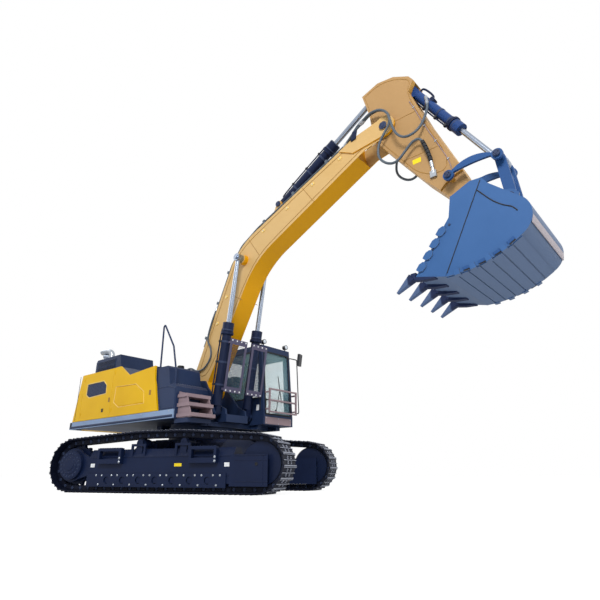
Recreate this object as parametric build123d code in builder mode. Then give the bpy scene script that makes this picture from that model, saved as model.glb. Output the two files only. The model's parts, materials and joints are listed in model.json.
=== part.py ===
from build123d import *
from math import acos, atan2, cos, degrees, hypot, sin, radians
import os

# Crawler excavator, about 50 t class, parked on its tracks with the house swung and the boom raised.
# Millimetres, +Z up, ground at z = 0. Every sub-part is drawn about the swing axis: +X runs forward
# along the tracks for the undercarriage, and forward under the boom for everything above the ring.

# Placing of the two frames in the finished model
SWING_X = -2145
SWING_ANGLE = 19.25
UPPER = Location((SWING_X, 0, 0))
UNDER = Location((SWING_X, 0, 0), (0, 0, SWING_ANGLE))

# Clearances
SEAT = 0.3
PIN_FIT = 0.1
ROD_FIT = 2
PANEL_GAP = 8

# Tracks
GAUGE = 2740
SHOE_WIDTH = 600
SHOE_COUNT = 56
AXLE_REACH = 2245
AXLE_Z = 555
GROUSER = 38
SHOE_PLATE = 14
SHOE_LIP = 7
CARRIER_REACH = 0.24 * AXLE_REACH
CARRIER_RISE = 110
CARRIER_DROP = 8
RAIL_HEIGHT = 105
RAIL_INSIDE = 55
RAIL_OUTSIDE = 105

# Track frames and their running gear
FRAME_HALF_WIDTH = 200
FRAME_CROWN_HALF = 110
FRAME_REAR = 460 - AXLE_REACH
FRAME_FRONT = AXLE_REACH - 545
FRAME_LOW = 345
FRAME_SHOULDER = 700
FRAME_CROWN = 860
YOKE_PLATE = 35
YOKE_FRONT = AXLE_REACH + 185
YOKE_LOW = 150
YOKE_TOP = 720
ROLLER_RADIUS = 95
ROLLER_COUNT = 9
ROLLER_FIRST = 585 - AXLE_REACH
ROLLER_LAST = AXLE_REACH - 685
ROLLER_SEAT_HALF = 62
CARRIER_RADIUS = 90
ARCH_LENGTH = 360
ARCH_TOP = 960
ARCH_BAR = 50
ARCH_DEPTH = 30
AXLE_RADIUS = 38
SPROCKET_HALF_WIDTH = 38
SPROCKET_TEETH = 15
SPROCKET_ROOT = 395
SPROCKET_TIP = 445
DRIVE_RADIUS = 300
DRIVE_HALF_WIDTH = 250
GUARD_THICKNESS = 22
GUARD_LOW = 120
GUARD_TOP = 320
STEP_LENGTH = 610
STEP_REARS = (745 - AXLE_REACH, AXLE_REACH - 1485)
STEP_TOP = 880
STEP_DEPTH = 110
STEP_BAR = 55

# Carbody and slew ring
CARBODY_HALF = 740
CARBODY_LOW = 520
CARBODY_TOP = 1150
LEG_INNER = 300
LEG_OUTER = 1080
RING_RADIUS = 760
RING_BORE = 560
RING_TOP = 1440

# Deck of the house
DECK_TOP = 1600
HOUSE_HALF = 1500
DECK_REAR = -3110
DECK_FRONT = 1180
BEAM_LOW = 1350
LANE_FRONT = 790
RING_CLEAR = 800
LANE_OUT = 590
TANK_FRONT = 880
TANK_TOP = 2160
TANK_RISE = 415
TANK_HEAD = TANK_TOP + TANK_RISE
SKIRT_LOW = 1447
SKIRT_TOP = 1625
SKIRT_THICKNESS = 30
MAIN_PLATE_IN = 270
MAIN_PLATE_OUT = 320

# Boom foot and boom cylinder foot
FOOT = (200, 2250)
FOOT_PIN = 60
FOOT_BOSS = 190
LIFT_FOOT = (970, 1640)
LIFT_Y = 460
LIFT_PIN = 50
LIFT_LUG_IN = 525
LIFT_LUG_OUT = 565

# Counterweight
WEIGHT_LOW = SKIRT_TOP + PANEL_GAP
WEIGHT_TOP = 2815
WEIGHT_FRONT = -3118
WEIGHT_SIDE_REAR = -3560
WEIGHT_REAR = -3690
WEIGHT_LEAN = 240
WEIGHT_CORNER = 130

# Housing and its doors, with the right side seen in the side view
SHELL = 30
PANEL = 40
PANEL_LOW = 1633
PANEL_TOP = 2815
DOOR_SPLIT = -1650
RIGHT_FRONT_LOW = 310
RIGHT_FRONT_TOP = 90
RIGHT_DIP_REAR = -1370
RIGHT_DIP_FRONT = -960
RIGHT_DIP_Z = 2550
RIGHT_NOSE_Z = 2630
LEFT_FRONT = -450
LEFT_SPLIT = -1750
BAY_INSIDE = 420
BAY_FRONT = -1300
RAIL_RADIUS = 19

# Cowl, hood and exhaust
COWL_REAR = -3090
COWL_FRONT = -1900
COWL_OUT = -1250
COWL_IN = -300
COWL_TOP = 3240
COWL_SLOPE = 110
HOOD_REAR = -3090
HOOD_FRONT = -1340
HOOD_LEFT = 1180
HOOD_TOP = 2960
EXHAUST = (-2780, -1010)
EXHAUST_RADIUS = 75
EXHAUST_TOP = 3420

# Cab
CAB_REAR = -350
CAB_FRONT = 1400
CAB_RAKE = 130
CAB_RIGHT = 612
CAB_LEFT = 1620
CAB_LOW = 1440
CAB_SILL = 1640
CAB_TOP = 3330
CAB_ROOF = 110
CAB_WALL = 60
CAB_POST = 90
GLASS = 8
CAB_DOOR_REAR = 330
CAB_DOOR_FRONT = 1190
CAB_DOOR_THICKNESS = 46
CAB_HINGES = (1830, 2860)
HINGE_OUT = 18
KNUCKLE_RADIUS = 15
KNUCKLE = 60

# Boom
BOOM_HALF = 250
BOOM_FOOT_HALF = 262
TIP = (5460, 6980)
TIP_BOSS = 235
BOOM_BACK_LOW = (-120, 2620)
BOOM_KNEE_LOW = (1050, 5200)
BOOM_KNEE_HIGH = (1850, 5870)
BOOM_BACK_HIGH = (4600, 7030)
TIP_PIN = 60
FORK_IN = 235
FORK_OUT = 285
FORK_THROAT = 780
LIFT_EYE = (1500, 5190)
LIFT_BOSS = 120
LIFT_BOSS_OUT = 370
ARM_CYL_BASE = (2450, 6430)

# Cylinders
LIFT_BARREL = 105
LIFT_ROD = 55
LIFT_BARREL_LENGTH = 2000
ARM_BARREL = 110
ARM_ROD = 60
ARM_BARREL_LENGTH = 1900
BUCKET_BARREL = 95
BUCKET_ROD = 52
BUCKET_BARREL_LENGTH = 1640
BARREL_WALL = 18
BARREL_END = 40
BARREL_FLOOR = 10
PISTON = 50
LIFT_PISTON = 1620
ARM_PISTON = 970
BUCKET_PISTON = 910
PISTON_FIT = 1
GLAND_EXTRA = 24
GLAND_LENGTH = 200
NECK = 150
GUARD_AHEAD = 300

# Arm and linkage
ARM_HALF = 210
ARM_TIP_HALF = 160
ARM_EYE = (5050, 7990)
BUCKET_CYL_BASE = (6030, 7700)
BUCKET_BARREL_PATH = (6270, 7180)
LINK_A = (6675, 5232)
LINK_B = (7510, 5270)
LINK_C = (7590, 4490)
HINGE = (6930, 4720)
HINGE_BOSS = 140
LINK_PIN = 45
ARM_PIN = 50

# Bucket
BUCKET_HALF = 857
BUCKET_SHELL = 32
CREST_DROP = 45
EAR_IN = 250
EAR_OUT = 300
TOOTH_COUNT = 5
TOOTH_SPAN = 1640
TOOTH_TIP = (5780, 3125)
LIP = (6140, 3310)
HEEL = (6620, 3190)
UNDERSIDE_MIDDLE = (7230, 3265)
UNDERSIDE_END = (7780, 3520)
CHEEK_TOP = (6780, 4150)


def save(piece, node, place=UPPER):
    """Put a finished piece in its place, label it and write its file."""
    part = piece.part.moved(place)
    part.label = node
    export_step(part, f"parts/{node}.step")


def block(x, y, z, mode=Mode.ADD):
    """Box between two limits along each axis."""
    centre = ((x[0] + x[1]) / 2, (y[0] + y[1]) / 2, (z[0] + z[1]) / 2)
    with Locations(centre):
        Box(x[1] - x[0], y[1] - y[0], z[1] - z[0], mode=mode)


def slab(points, y, mode=Mode.ADD):
    """Side-view outline of straight edges, as thick as the span of y."""
    with BuildSketch(Plane.XZ.offset(-y[1])) as outline:
        with BuildLine():
            Polyline(*points, close=True)
        make_face()
    extrude(outline.sketch, amount=y[1] - y[0], mode=mode)


def disc(centre, radius, y, mode=Mode.ADD):
    """Round boss, pin or hole along Y at a side-view centre."""
    with BuildSketch(Plane.XZ.offset(-y[1])) as circle:
        with Locations(centre):
            Circle(radius)
    extrude(circle.sketch, amount=y[1] - y[0], mode=mode)


def bar(start, end, width, y, mode=Mode.ADD):
    """Straight bar with round ends between two side-view points."""
    length = hypot(end[0] - start[0], end[1] - start[1])
    angle = degrees(atan2(end[1] - start[1], end[0] - start[0]))
    middle = ((start[0] + end[0]) / 2, (start[1] + end[1]) / 2)
    with BuildSketch(Plane.XZ.offset(-y[1])) as shape:
        with Locations(Location(middle, (0, 0, angle))):
            SlotCenterToCenter(length, width)
    extrude(shape.sketch, amount=y[1] - y[0], mode=mode)


def strip(start, end, span, out, y, mode=Mode.ADD):
    """Side-view rectangle along a line, over a span of it and between two distances to its left."""
    length = hypot(end[0] - start[0], end[1] - start[1])
    ux = (end[0] - start[0]) / length
    uz = (end[1] - start[1]) / length
    corners = [(span[0], out[0]), (span[1], out[0]), (span[1], out[1]), (span[0], out[1])]
    slab([(start[0] + ux * far - uz * off, start[1] + uz * far + ux * off) for far, off in corners], y, mode)


def both(y):
    """The span of y and its mirror image."""
    return [y, (-y[1], -y[0])]


def rod_plane(start, end, y, along=0):
    """Plane across the line between two side-view points, a distance along it."""
    dx = end[0] - start[0]
    dz = end[1] - start[1]
    length = hypot(dx, dz)
    origin = (start[0] + dx / length * along, y, start[1] + dz / length * along)
    return Plane(origin=origin, x_dir=(0, 1, 0), z_dir=(dx, 0, dz))


def round_bar(start, end, y, span, radius, mode=Mode.ADD):
    """Round bar along the line between two side-view points, over a span of it."""
    with BuildSketch(rod_plane(start, end, y, span[0])) as section:
        Circle(radius)
    extrude(section.sketch, amount=span[1] - span[0], mode=mode)


def tube(points, radius, bend):
    """Round tube along a path with rounded corners."""
    with BuildLine() as path:
        FilletPolyline(*points, radius=bend)
    with BuildSketch(Plane(origin=path.line @ 0, z_dir=path.line % 0)) as section:
        Circle(radius)
    sweep(section.sketch, path=path.line)


# Undercarriage
def track_pins():
    """Points at one pitch along the line under the shoes, anticlockwise in the side view."""
    radius = AXLE_Z - GROUSER
    rise = radius + CARRIER_RISE
    run = AXLE_REACH - CARRIER_REACH
    lean = degrees(atan2(rise, -run) - acos(radius / hypot(run, rise)))
    top_z = AXLE_Z + rise
    tangent = (AXLE_REACH + radius * cos(radians(lean)), AXLE_Z + radius * sin(radians(lean)))
    with BuildLine() as run_line:
        Line((-AXLE_REACH, GROUSER), (AXLE_REACH, GROUSER))
        CenterArc((AXLE_REACH, AXLE_Z), radius, -90, 90 + lean)
        Line(tangent, (CARRIER_REACH, top_z))
        Line((CARRIER_REACH, top_z), (-CARRIER_REACH, top_z))
        Line((-CARRIER_REACH, top_z), (-tangent[0], tangent[1]))
        CenterArc((-AXLE_REACH, AXLE_Z), radius, 180 - lean, 90 + lean)
    loop = run_line.wire()
    return [loop @ (i / SHOE_COUNT) for i in range(SHOE_COUNT)]


# One shoe in the side view: place along its pitch, and height from the link line
SHOE_OUTLINE = [
    (0.00, SHOE_LIP), (0.02, GROUSER), (0.10, GROUSER), (0.16, SHOE_PLATE), (0.46, SHOE_PLATE),
    (0.51, GROUSER), (0.57, SHOE_PLATE), (0.92, SHOE_PLATE), (0.97, GROUSER),
]


def make_track(side):
    """Closed loop of shoes with their grousers, fused with its two rows of links."""
    pins = track_pins()
    outer = []
    rail = []
    for start, end in zip(pins, pins[1:] + pins[:1]):
        pitch = (end - start).length
        ahead = (end - start) / pitch
        out = Vector(ahead.Y, -ahead.X)
        outer += [start + ahead * (u * pitch) + out * h for u, h in SHOE_OUTLINE]
        rail.append(start - out * RAIL_HEIGHT)
    middle = side * GAUGE / 2
    with BuildPart() as track:
        with BuildSketch(Plane.XZ.offset(-middle - SHOE_WIDTH / 2)) as shoes:
            with BuildLine():
                Polyline(*[(p.X, p.Y) for p in outer], close=True)
            make_face()
            with BuildLine():
                Polyline(*[(p.X, p.Y) for p in pins], close=True)
            make_face(mode=Mode.SUBTRACT)
        extrude(amount=SHOE_WIDTH)
        for low, high in both((RAIL_INSIDE, RAIL_OUTSIDE)):
            with BuildSketch(Plane.XZ.offset(-middle - high)) as links:
                with BuildLine():
                    Polyline(*[(p.X, p.Y) for p in pins], close=True)
                make_face()
                with BuildLine():
                    Polyline(*[(p.X, p.Y) for p in rail], close=True)
                make_face(mode=Mode.SUBTRACT)
            extrude(amount=high - low)
    return track


def spaced(first, last, count):
    """Evenly spaced places from first to last."""
    return [first + (last - first) * i / (count - 1) for i in range(count)]


ROLLER_Z = GROUSER + RAIL_HEIGHT + SEAT + ROLLER_RADIUS
CARRIER_Z = 2 * AXLE_Z - GROUSER + CARRIER_RISE - RAIL_HEIGHT - CARRIER_DROP - CARRIER_RADIUS
ROLLERS = spaced(ROLLER_FIRST, ROLLER_LAST, ROLLER_COUNT)


def make_track_frame(side):
    """Box frame between idler and sprocket, with roller seats, idler yoke and drive bracket."""
    mid = side * GAUGE / 2
    section = [
        (-FRAME_HALF_WIDTH, FRAME_LOW), (-FRAME_HALF_WIDTH, FRAME_SHOULDER),
        (-FRAME_CROWN_HALF, FRAME_CROWN), (FRAME_CROWN_HALF, FRAME_CROWN),
        (FRAME_HALF_WIDTH, FRAME_SHOULDER), (FRAME_HALF_WIDTH, FRAME_LOW),
    ]
    with BuildPart() as frame:
        with BuildSketch(Plane.YZ.offset(FRAME_REAR)) as box:
            with BuildLine():
                Polyline(*[(mid + y, z) for y, z in section], close=True)
            make_face()
        extrude(amount=FRAME_FRONT - FRAME_REAR)
        for low, high in both((FRAME_HALF_WIDTH, FRAME_HALF_WIDTH + YOKE_PLATE)):
            y = (mid + low, mid + high)
            block((FRAME_FRONT - 60, YOKE_FRONT), y, (YOKE_LOW, YOKE_TOP))
            disc((AXLE_REACH, AXLE_Z), AXLE_RADIUS + PIN_FIT, y, Mode.SUBTRACT)
        for low, high in both((DRIVE_HALF_WIDTH - 120, DRIVE_HALF_WIDTH - 60)):
            y = (mid + low, mid + high)
            slab([(FRAME_REAR + 10, FRAME_LOW), (-AXLE_REACH, AXLE_Z - 340), (-AXLE_REACH, AXLE_Z + 340),
                  (FRAME_REAR + 10, FRAME_SHOULDER)], y)
            disc((-AXLE_REACH, AXLE_Z), DRIVE_RADIUS + 45, y)
            disc((-AXLE_REACH, AXLE_Z), DRIVE_RADIUS - 60 + PIN_FIT, y, Mode.SUBTRACT)
        for x in ROLLERS:
            for low, high in both((RAIL_OUTSIDE + 20, FRAME_HALF_WIDTH)):
                y = (mid + low, mid + high)
                block((x - ROLLER_SEAT_HALF, x + ROLLER_SEAT_HALF), y, (ROLLER_Z - 45, FRAME_LOW + 5))
                disc((x, ROLLER_Z), AXLE_RADIUS + PIN_FIT, y, Mode.SUBTRACT)
        for x in (-CARRIER_REACH, CARRIER_REACH):
            for low, high in both((RAIL_OUTSIDE + 25, RAIL_OUTSIDE + 65)):
                y = (mid + low, mid + high)
                bar((x, FRAME_SHOULDER + 20), (x, CARRIER_Z), 150, y)
                disc((x, CARRIER_Z), AXLE_RADIUS + PIN_FIT, y, Mode.SUBTRACT)
            for low, high in both((FRAME_HALF_WIDTH - ARCH_DEPTH, FRAME_HALF_WIDTH)):
                y = (mid + low, mid + high)
                for foot in (x - ARCH_LENGTH / 2, x + ARCH_LENGTH / 2 - ARCH_BAR):
                    block((foot, foot + ARCH_BAR), y, (FRAME_SHOULDER - ARCH_BAR, ARCH_TOP))
                block((x - ARCH_LENGTH / 2, x + ARCH_LENGTH / 2), y, (ARCH_TOP - ARCH_BAR, ARCH_TOP))
    return frame


def make_idlers():
    """Front idler of each track with its axle."""
    tread = ((AXLE_Z - GROUSER) ** 2 - 120 ** 2) ** 0.5 - RAIL_HEIGHT - SEAT
    with BuildPart() as idlers:
        for side in (-1, 1):
            mid = side * GAUGE / 2
            centre = (AXLE_REACH, AXLE_Z)
            disc(centre, tread, (mid - RAIL_OUTSIDE, mid + RAIL_OUTSIDE))
            disc(centre, tread + 35, (mid - RAIL_INSIDE + 5, mid + RAIL_INSIDE - 5))
            disc(centre, AXLE_RADIUS + 60, (mid - FRAME_HALF_WIDTH + 5, mid + FRAME_HALF_WIDTH - 5))
            disc(centre, AXLE_RADIUS, (mid - FRAME_HALF_WIDTH - 34, mid + FRAME_HALF_WIDTH + 34))
    return idlers


def make_sprockets():
    """Toothed drive sprocket of each track with its drive hub."""
    tooth = 360 / SPROCKET_TEETH
    outline = []
    for i in range(SPROCKET_TEETH):
        for turn, radius in ((0.10, SPROCKET_TIP), (0.28, SPROCKET_TIP), (0.46, SPROCKET_ROOT),
                             (0.92, SPROCKET_ROOT)):
            angle = radians((i + turn) * tooth)
            outline.append((-AXLE_REACH + radius * cos(angle), AXLE_Z + radius * sin(angle)))
    with BuildPart() as sprockets:
        for side in (-1, 1):
            mid = side * GAUGE / 2
            centre = (-AXLE_REACH, AXLE_Z)
            slab(outline, (mid - SPROCKET_HALF_WIDTH, mid + SPROCKET_HALF_WIDTH))
            disc(centre, DRIVE_RADIUS - 60, (mid - DRIVE_HALF_WIDTH, mid + DRIVE_HALF_WIDTH))
            disc(centre, DRIVE_RADIUS, (mid + SPROCKET_HALF_WIDTH, mid + DRIVE_HALF_WIDTH - 125))
            disc(centre, DRIVE_RADIUS, (mid - DRIVE_HALF_WIDTH + 125, mid - SPROCKET_HALF_WIDTH))
            outside = mid + side * (DRIVE_HALF_WIDTH - 55)
            cover = sorted((outside, mid + side * (DRIVE_HALF_WIDTH + 10)))
            disc(centre, DRIVE_RADIUS, cover)
    return sprockets


def make_rollers():
    """Bottom rollers of both tracks, each on its axle."""
    with BuildPart() as rollers:
        for side in (-1, 1):
            mid = side * GAUGE / 2
            for x in ROLLERS:
                disc((x, ROLLER_Z), ROLLER_RADIUS, (mid - RAIL_OUTSIDE, mid + RAIL_OUTSIDE))
                disc((x, ROLLER_Z), AXLE_RADIUS, (mid - FRAME_HALF_WIDTH, mid + FRAME_HALF_WIDTH))
    return rollers


def make_carrier_rollers():
    """Upper rollers that carry the top run of each track."""
    with BuildPart() as rollers:
        for side in (-1, 1):
            mid = side * GAUGE / 2
            for x in (-CARRIER_REACH, CARRIER_REACH):
                disc((x, CARRIER_Z), CARRIER_RADIUS, (mid - RAIL_OUTSIDE, mid + RAIL_OUTSIDE))
                disc((x, CARRIER_Z), AXLE_RADIUS, (mid - RAIL_OUTSIDE - 60, mid + RAIL_OUTSIDE + 60))
    return rollers


def make_roller_guards():
    """Plates beside the bottom rollers, scalloped over each roller's end."""
    with BuildPart() as guards:
        for side in (-1, 1):
            mid = side * GAUGE / 2
            for inner in (FRAME_HALF_WIDTH + SEAT, -FRAME_HALF_WIDTH - SEAT - GUARD_THICKNESS):
                y = (mid + inner, mid + inner + GUARD_THICKNESS)
                block((ROLLER_FIRST - 120, ROLLER_LAST), y, (GUARD_LOW, GUARD_TOP + 60))
                for x in ROLLERS[1:-1]:
                    disc((x, GUARD_TOP - 70), 70, y, Mode.SUBTRACT)
    return guards


def make_frame_steps():
    """Step frames that stand on the outer shoulder of each track frame."""
    with BuildPart() as steps:
        for side in (-1, 1):
            face = side * (GAUGE / 2 + FRAME_HALF_WIDTH)
            for rear in STEP_REARS:
                front = rear + STEP_LENGTH
                y = sorted((face + side * SEAT, face + side * (SEAT + STEP_DEPTH - 10)))
                block((rear, front), y, (FRAME_SHOULDER - 130, STEP_TOP))
                block((rear + STEP_BAR, front - STEP_BAR), y, (FRAME_SHOULDER - 40, STEP_TOP - STEP_BAR),
                      Mode.SUBTRACT)
    return steps


def make_carbody():
    """Centre box with four legs that drop to the track frames."""
    reach = GAUGE / 2 - FRAME_HALF_WIDTH - SEAT
    leg = [(-reach, CARBODY_LOW), (-reach, 790), (-CARBODY_HALF, 1060), (0, CARBODY_TOP),
           (CARBODY_HALF, 1060), (reach, 790), (reach, CARBODY_LOW), (CARBODY_HALF, 620), (-CARBODY_HALF, 620)]
    with BuildPart() as carbody:
        for low, high in both((LEG_INNER, LEG_OUTER)):
            with BuildSketch(Plane.YZ.offset(low)) as outline:
                with BuildLine():
                    Polyline(*leg, close=True)
                make_face()
            extrude(amount=high - low)
        block((-CARBODY_HALF, CARBODY_HALF), (-CARBODY_HALF, CARBODY_HALF), (620, 1090))
        with BuildSketch(Plane.XY.offset(1000)):
            Circle(RING_RADIUS)
        extrude(amount=CARBODY_TOP - 1000)
    return carbody


def make_slew_ring():
    """Slewing ring between carbody and deck."""
    with BuildPart() as ring:
        with BuildSketch(Plane.XY.offset(CARBODY_TOP + SEAT)):
            Circle(RING_RADIUS - 20)
            Circle(RING_BORE, mode=Mode.SUBTRACT)
        extrude(amount=RING_TOP - 2 * SEAT - CARBODY_TOP)
        with BuildSketch(Plane.XY.offset(CARBODY_TOP + 90)):
            Circle(RING_RADIUS + 25)
            Circle(RING_BORE, mode=Mode.SUBTRACT)
        extrude(amount=110)
    return ring


# House
def make_deck():
    """Swing platform with the two main plates that hold boom foot and boom cylinders."""
    side = HOUSE_HALF - SKIRT_THICKNESS - SEAT
    plate = [(BAY_FRONT + 20, DECK_TOP - 10), (-1100, 1960), (-120, 2380), (60, 2450), (360, 2420), (470, 2260),
             (900, 1820), (1120, 1720), (1150, DECK_TOP - 10)]
    lug = [(560, DECK_TOP - 10), (880, LIFT_FOOT[1] + 105), (1010, LIFT_FOOT[1] + 100), (1070, LIFT_FOOT[1] - 30),
           (1010, LIFT_FOOT[1] - 105), (LANE_FRONT, RING_TOP + 10), (560, RING_TOP + 10)]
    with BuildPart() as deck:
        block((DECK_REAR, TANK_FRONT), (-side, -LANE_OUT), (RING_TOP, DECK_TOP))
        block((DECK_REAR, CAB_REAR - PANEL_GAP), (0, side), (RING_TOP, DECK_TOP))
        block((DECK_REAR, LANE_FRONT), (-CAB_RIGHT + PANEL_GAP, CAB_RIGHT - PANEL_GAP), (RING_TOP, DECK_TOP))
        block((DECK_REAR, DECK_FRONT), (-MAIN_PLATE_OUT, MAIN_PLATE_OUT), (RING_TOP, DECK_TOP))
        for x in ((-1000, -820), (RING_CLEAR, RING_CLEAR + 90)):
            block(x, (-CAB_RIGHT + 30, CAB_RIGHT - 30), (BEAM_LOW, RING_TOP + 5))
            block(x, (CAB_RIGHT - 40, CAB_LEFT - 180), (BEAM_LOW, RING_TOP - SEAT))
        block((-1000, CAB_FRONT - 250), (CAB_LEFT - 320, CAB_LEFT - 180), (BEAM_LOW, RING_TOP - SEAT))
        block((RING_CLEAR, CAB_FRONT - 250), (CAB_RIGHT + 60, CAB_RIGHT + 180), (BEAM_LOW, RING_TOP - SEAT))
        block((RING_CLEAR, TANK_FRONT), (STEP_RIGHT + 20, -LANE_OUT), (BEAM_LOW, RING_TOP + 5))
        block((TANK_FRONT - 5, 1240), (STEP_RIGHT + 20, STEP_LEFT - 20), (BEAM_LOW, RING_TOP - SEAT))
        for y in both((MAIN_PLATE_IN, MAIN_PLATE_OUT)):
            slab(plate, y)
            disc(FOOT, FOOT_BOSS, y)
        disc(FOOT, FOOT_PIN, (-MAIN_PLATE_OUT - 30, MAIN_PLATE_OUT + 30))
        for y in both((LIFT_LUG_IN, LIFT_LUG_OUT)):
            slab(lug, y)
        for y in both((MAIN_PLATE_IN + 10, LIFT_LUG_OUT + 20)):
            disc(LIFT_FOOT, LIFT_PIN, y)
    return deck


def make_skirts():
    """Band round the foot of the house, from the front of each side past the rear corners."""
    with BuildPart() as skirts:
        for y, front in zip(both((HOUSE_HALF - SKIRT_THICKNESS, HOUSE_HALF)), (CAB_REAR - PANEL_GAP, TANK_FRONT)):
            block((WEIGHT_SIDE_REAR, front), y, (SKIRT_LOW, SKIRT_TOP))
        rear = HOUSE_HALF - SKIRT_THICKNESS
        block((WEIGHT_SIDE_REAR, WEIGHT_SIDE_REAR + SKIRT_THICKNESS), (-rear - 5, rear + 5), (SKIRT_LOW, SKIRT_TOP))
    return skirts


def weight_outline(shift):
    """Plan outline of the counterweight, its rear moved forward by a shift."""
    side_rear = WEIGHT_SIDE_REAR + shift
    inside = HOUSE_HALF - WEIGHT_CORNER
    with BuildSketch() as plan:
        with BuildLine():
            Line((WEIGHT_FRONT, -HOUSE_HALF), (side_rear + WEIGHT_CORNER, -HOUSE_HALF))
            ThreePointArc((side_rear + WEIGHT_CORNER, -HOUSE_HALF),
                          (side_rear + 0.29 * WEIGHT_CORNER, -HOUSE_HALF + 0.29 * WEIGHT_CORNER),
                          (side_rear, -inside))
            ThreePointArc((side_rear, -inside), (WEIGHT_REAR + shift, 0), (side_rear, inside))
            ThreePointArc((side_rear, inside),
                          (side_rear + 0.29 * WEIGHT_CORNER, HOUSE_HALF - 0.29 * WEIGHT_CORNER),
                          (side_rear + WEIGHT_CORNER, HOUSE_HALF))
            Line((side_rear + WEIGHT_CORNER, HOUSE_HALF), (WEIGHT_FRONT, HOUSE_HALF))
            Line((WEIGHT_FRONT, HOUSE_HALF), (WEIGHT_FRONT, -HOUSE_HALF))
        make_face()
    return plan.sketch


LIFT_EYE_HOLES = [(-3330, -900), (-3330, 900)]
LIFT_HOLE_RADIUS = 21
LIFT_HOLE_DEPTH = 90


def make_counterweight():
    """Cast weight that closes the rear, leaning forward towards its top."""
    with BuildPart() as weight:
        loft([weight_outline(0).moved(Location((0, 0, WEIGHT_LOW))),
              weight_outline(WEIGHT_LEAN).moved(Location((0, 0, WEIGHT_TOP)))])
        block((DECK_REAR - 380, DECK_REAR - SEAT), (-1200, 1200), (RING_TOP, WEIGHT_LOW + 5))
        with Locations(*[(x, y, WEIGHT_TOP) for x, y in LIFT_EYE_HOLES]):
            Hole(LIFT_HOLE_RADIUS, depth=LIFT_HOLE_DEPTH)
    return weight


def right_top(inset):
    """Top edge of the right side from rear to front in the side view, drawn in by an inset."""
    return [(DECK_REAR, PANEL_TOP - inset), (RIGHT_DIP_REAR - inset, PANEL_TOP - inset),
            (RIGHT_DIP_FRONT - inset / 2, RIGHT_DIP_Z - inset), (RIGHT_FRONT_TOP - inset, RIGHT_NOSE_Z - inset)]


def make_housing():
    """Open-sided machinery housing: right and left bays joined by the engine bay behind the boom."""
    side = HOUSE_HALF - PANEL - SEAT
    low = DECK_TOP + SEAT
    top = PANEL_TOP - PANEL_GAP
    inner_low = low - 5
    right = [(RIGHT_FRONT_LOW - PANEL_GAP, low), (DECK_REAR, low)] + right_top(PANEL_GAP)
    right_in = [(RIGHT_FRONT_LOW - SHELL - 40, inner_low), (DECK_REAR + SHELL, inner_low),
                (DECK_REAR + SHELL, top - SHELL)] + right_top(PANEL_GAP + SHELL + 5)[1:]
    rear_bay = (DECK_REAR, BAY_FRONT)
    with BuildPart() as housing:
        slab(right, (-side, -BAY_INSIDE))
        block(rear_bay, (-BAY_INSIDE - 5, BAY_INSIDE + 5), (low, top))
        block((DECK_REAR, LEFT_FRONT), (BAY_INSIDE, side), (low, top))
        slab(right_in, (-side - 5, -BAY_INSIDE - SHELL), Mode.SUBTRACT)
        block((DECK_REAR + SHELL, BAY_FRONT - SHELL), (-BAY_INSIDE - SHELL - 5, BAY_INSIDE + SHELL + 5),
              (inner_low, top - SHELL), Mode.SUBTRACT)
        block((DECK_REAR + SHELL, LEFT_FRONT - SHELL), (BAY_INSIDE + SHELL, side + 5),
              (inner_low, top - SHELL), Mode.SUBTRACT)
        block((HOOD_REAR + 60, HOOD_FRONT - 60), (COWL_IN + 60, HOOD_LEFT - 60), (top - 60, top + 5), Mode.SUBTRACT)
        block((COWL_REAR + 60, COWL_FRONT - 60), (COWL_OUT + 60, COWL_IN - 60), (top - 60, top + 5), Mode.SUBTRACT)
        for y in both((side - SHELL, side)):
            block((DOOR_SPLIT - 45, DOOR_SPLIT + 45), y, (low, top - SHELL + 5))
    return housing


def door_outline(part):
    """Side-view outline of one right-hand door: rear or middle."""
    gap = PANEL_GAP / 2
    if part == "rear":
        return [(WEIGHT_FRONT + PANEL_GAP, PANEL_LOW), (DOOR_SPLIT - gap, PANEL_LOW),
                (DOOR_SPLIT - gap, PANEL_TOP - 5), (WEIGHT_FRONT + PANEL_GAP, PANEL_TOP)]
    return [(DOOR_SPLIT + gap, PANEL_LOW), (RIGHT_FRONT_LOW, PANEL_LOW), (RIGHT_FRONT_TOP + 60, 2230),
            (RIGHT_FRONT_TOP + 20, 2330), (RIGHT_FRONT_TOP, RIGHT_NOSE_Z), (RIGHT_DIP_FRONT, RIGHT_DIP_Z),
            (RIGHT_DIP_REAR, PANEL_TOP), (DOOR_SPLIT + gap, PANEL_TOP - 5)]


REAR_VENT = [(-2920, 2270), (-2750, 2180), (-1910, 2210), (-1920, 2430), (-2090, 2560), (-2910, 2560)]
MIDDLE_RECESS = [(-1520, 1960), (-1290, 1830), (-220, 1830), (-260, 2100), (-610, 2310), (-1490, 2340)]
RECESS_DEPTH = 12


def make_right_door(part):
    """Right-hand door with its vent or recess."""
    outside = (-HOUSE_HALF, -HOUSE_HALF + PANEL)
    recess = REAR_VENT if part == "rear" else MIDDLE_RECESS
    with BuildPart() as door:
        slab(door_outline(part), outside)
        slab(recess, (-HOUSE_HALF - 1, -HOUSE_HALF + RECESS_DEPTH), Mode.SUBTRACT)
    return door


def make_left_door(rear, front):
    """Plain left-hand door between two places along the side."""
    gap = PANEL_GAP / 2
    with BuildPart() as door:
        block((rear + gap, front - gap), (HOUSE_HALF - PANEL, HOUSE_HALF), (PANEL_LOW, PANEL_TOP - 5))
    return door


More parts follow.
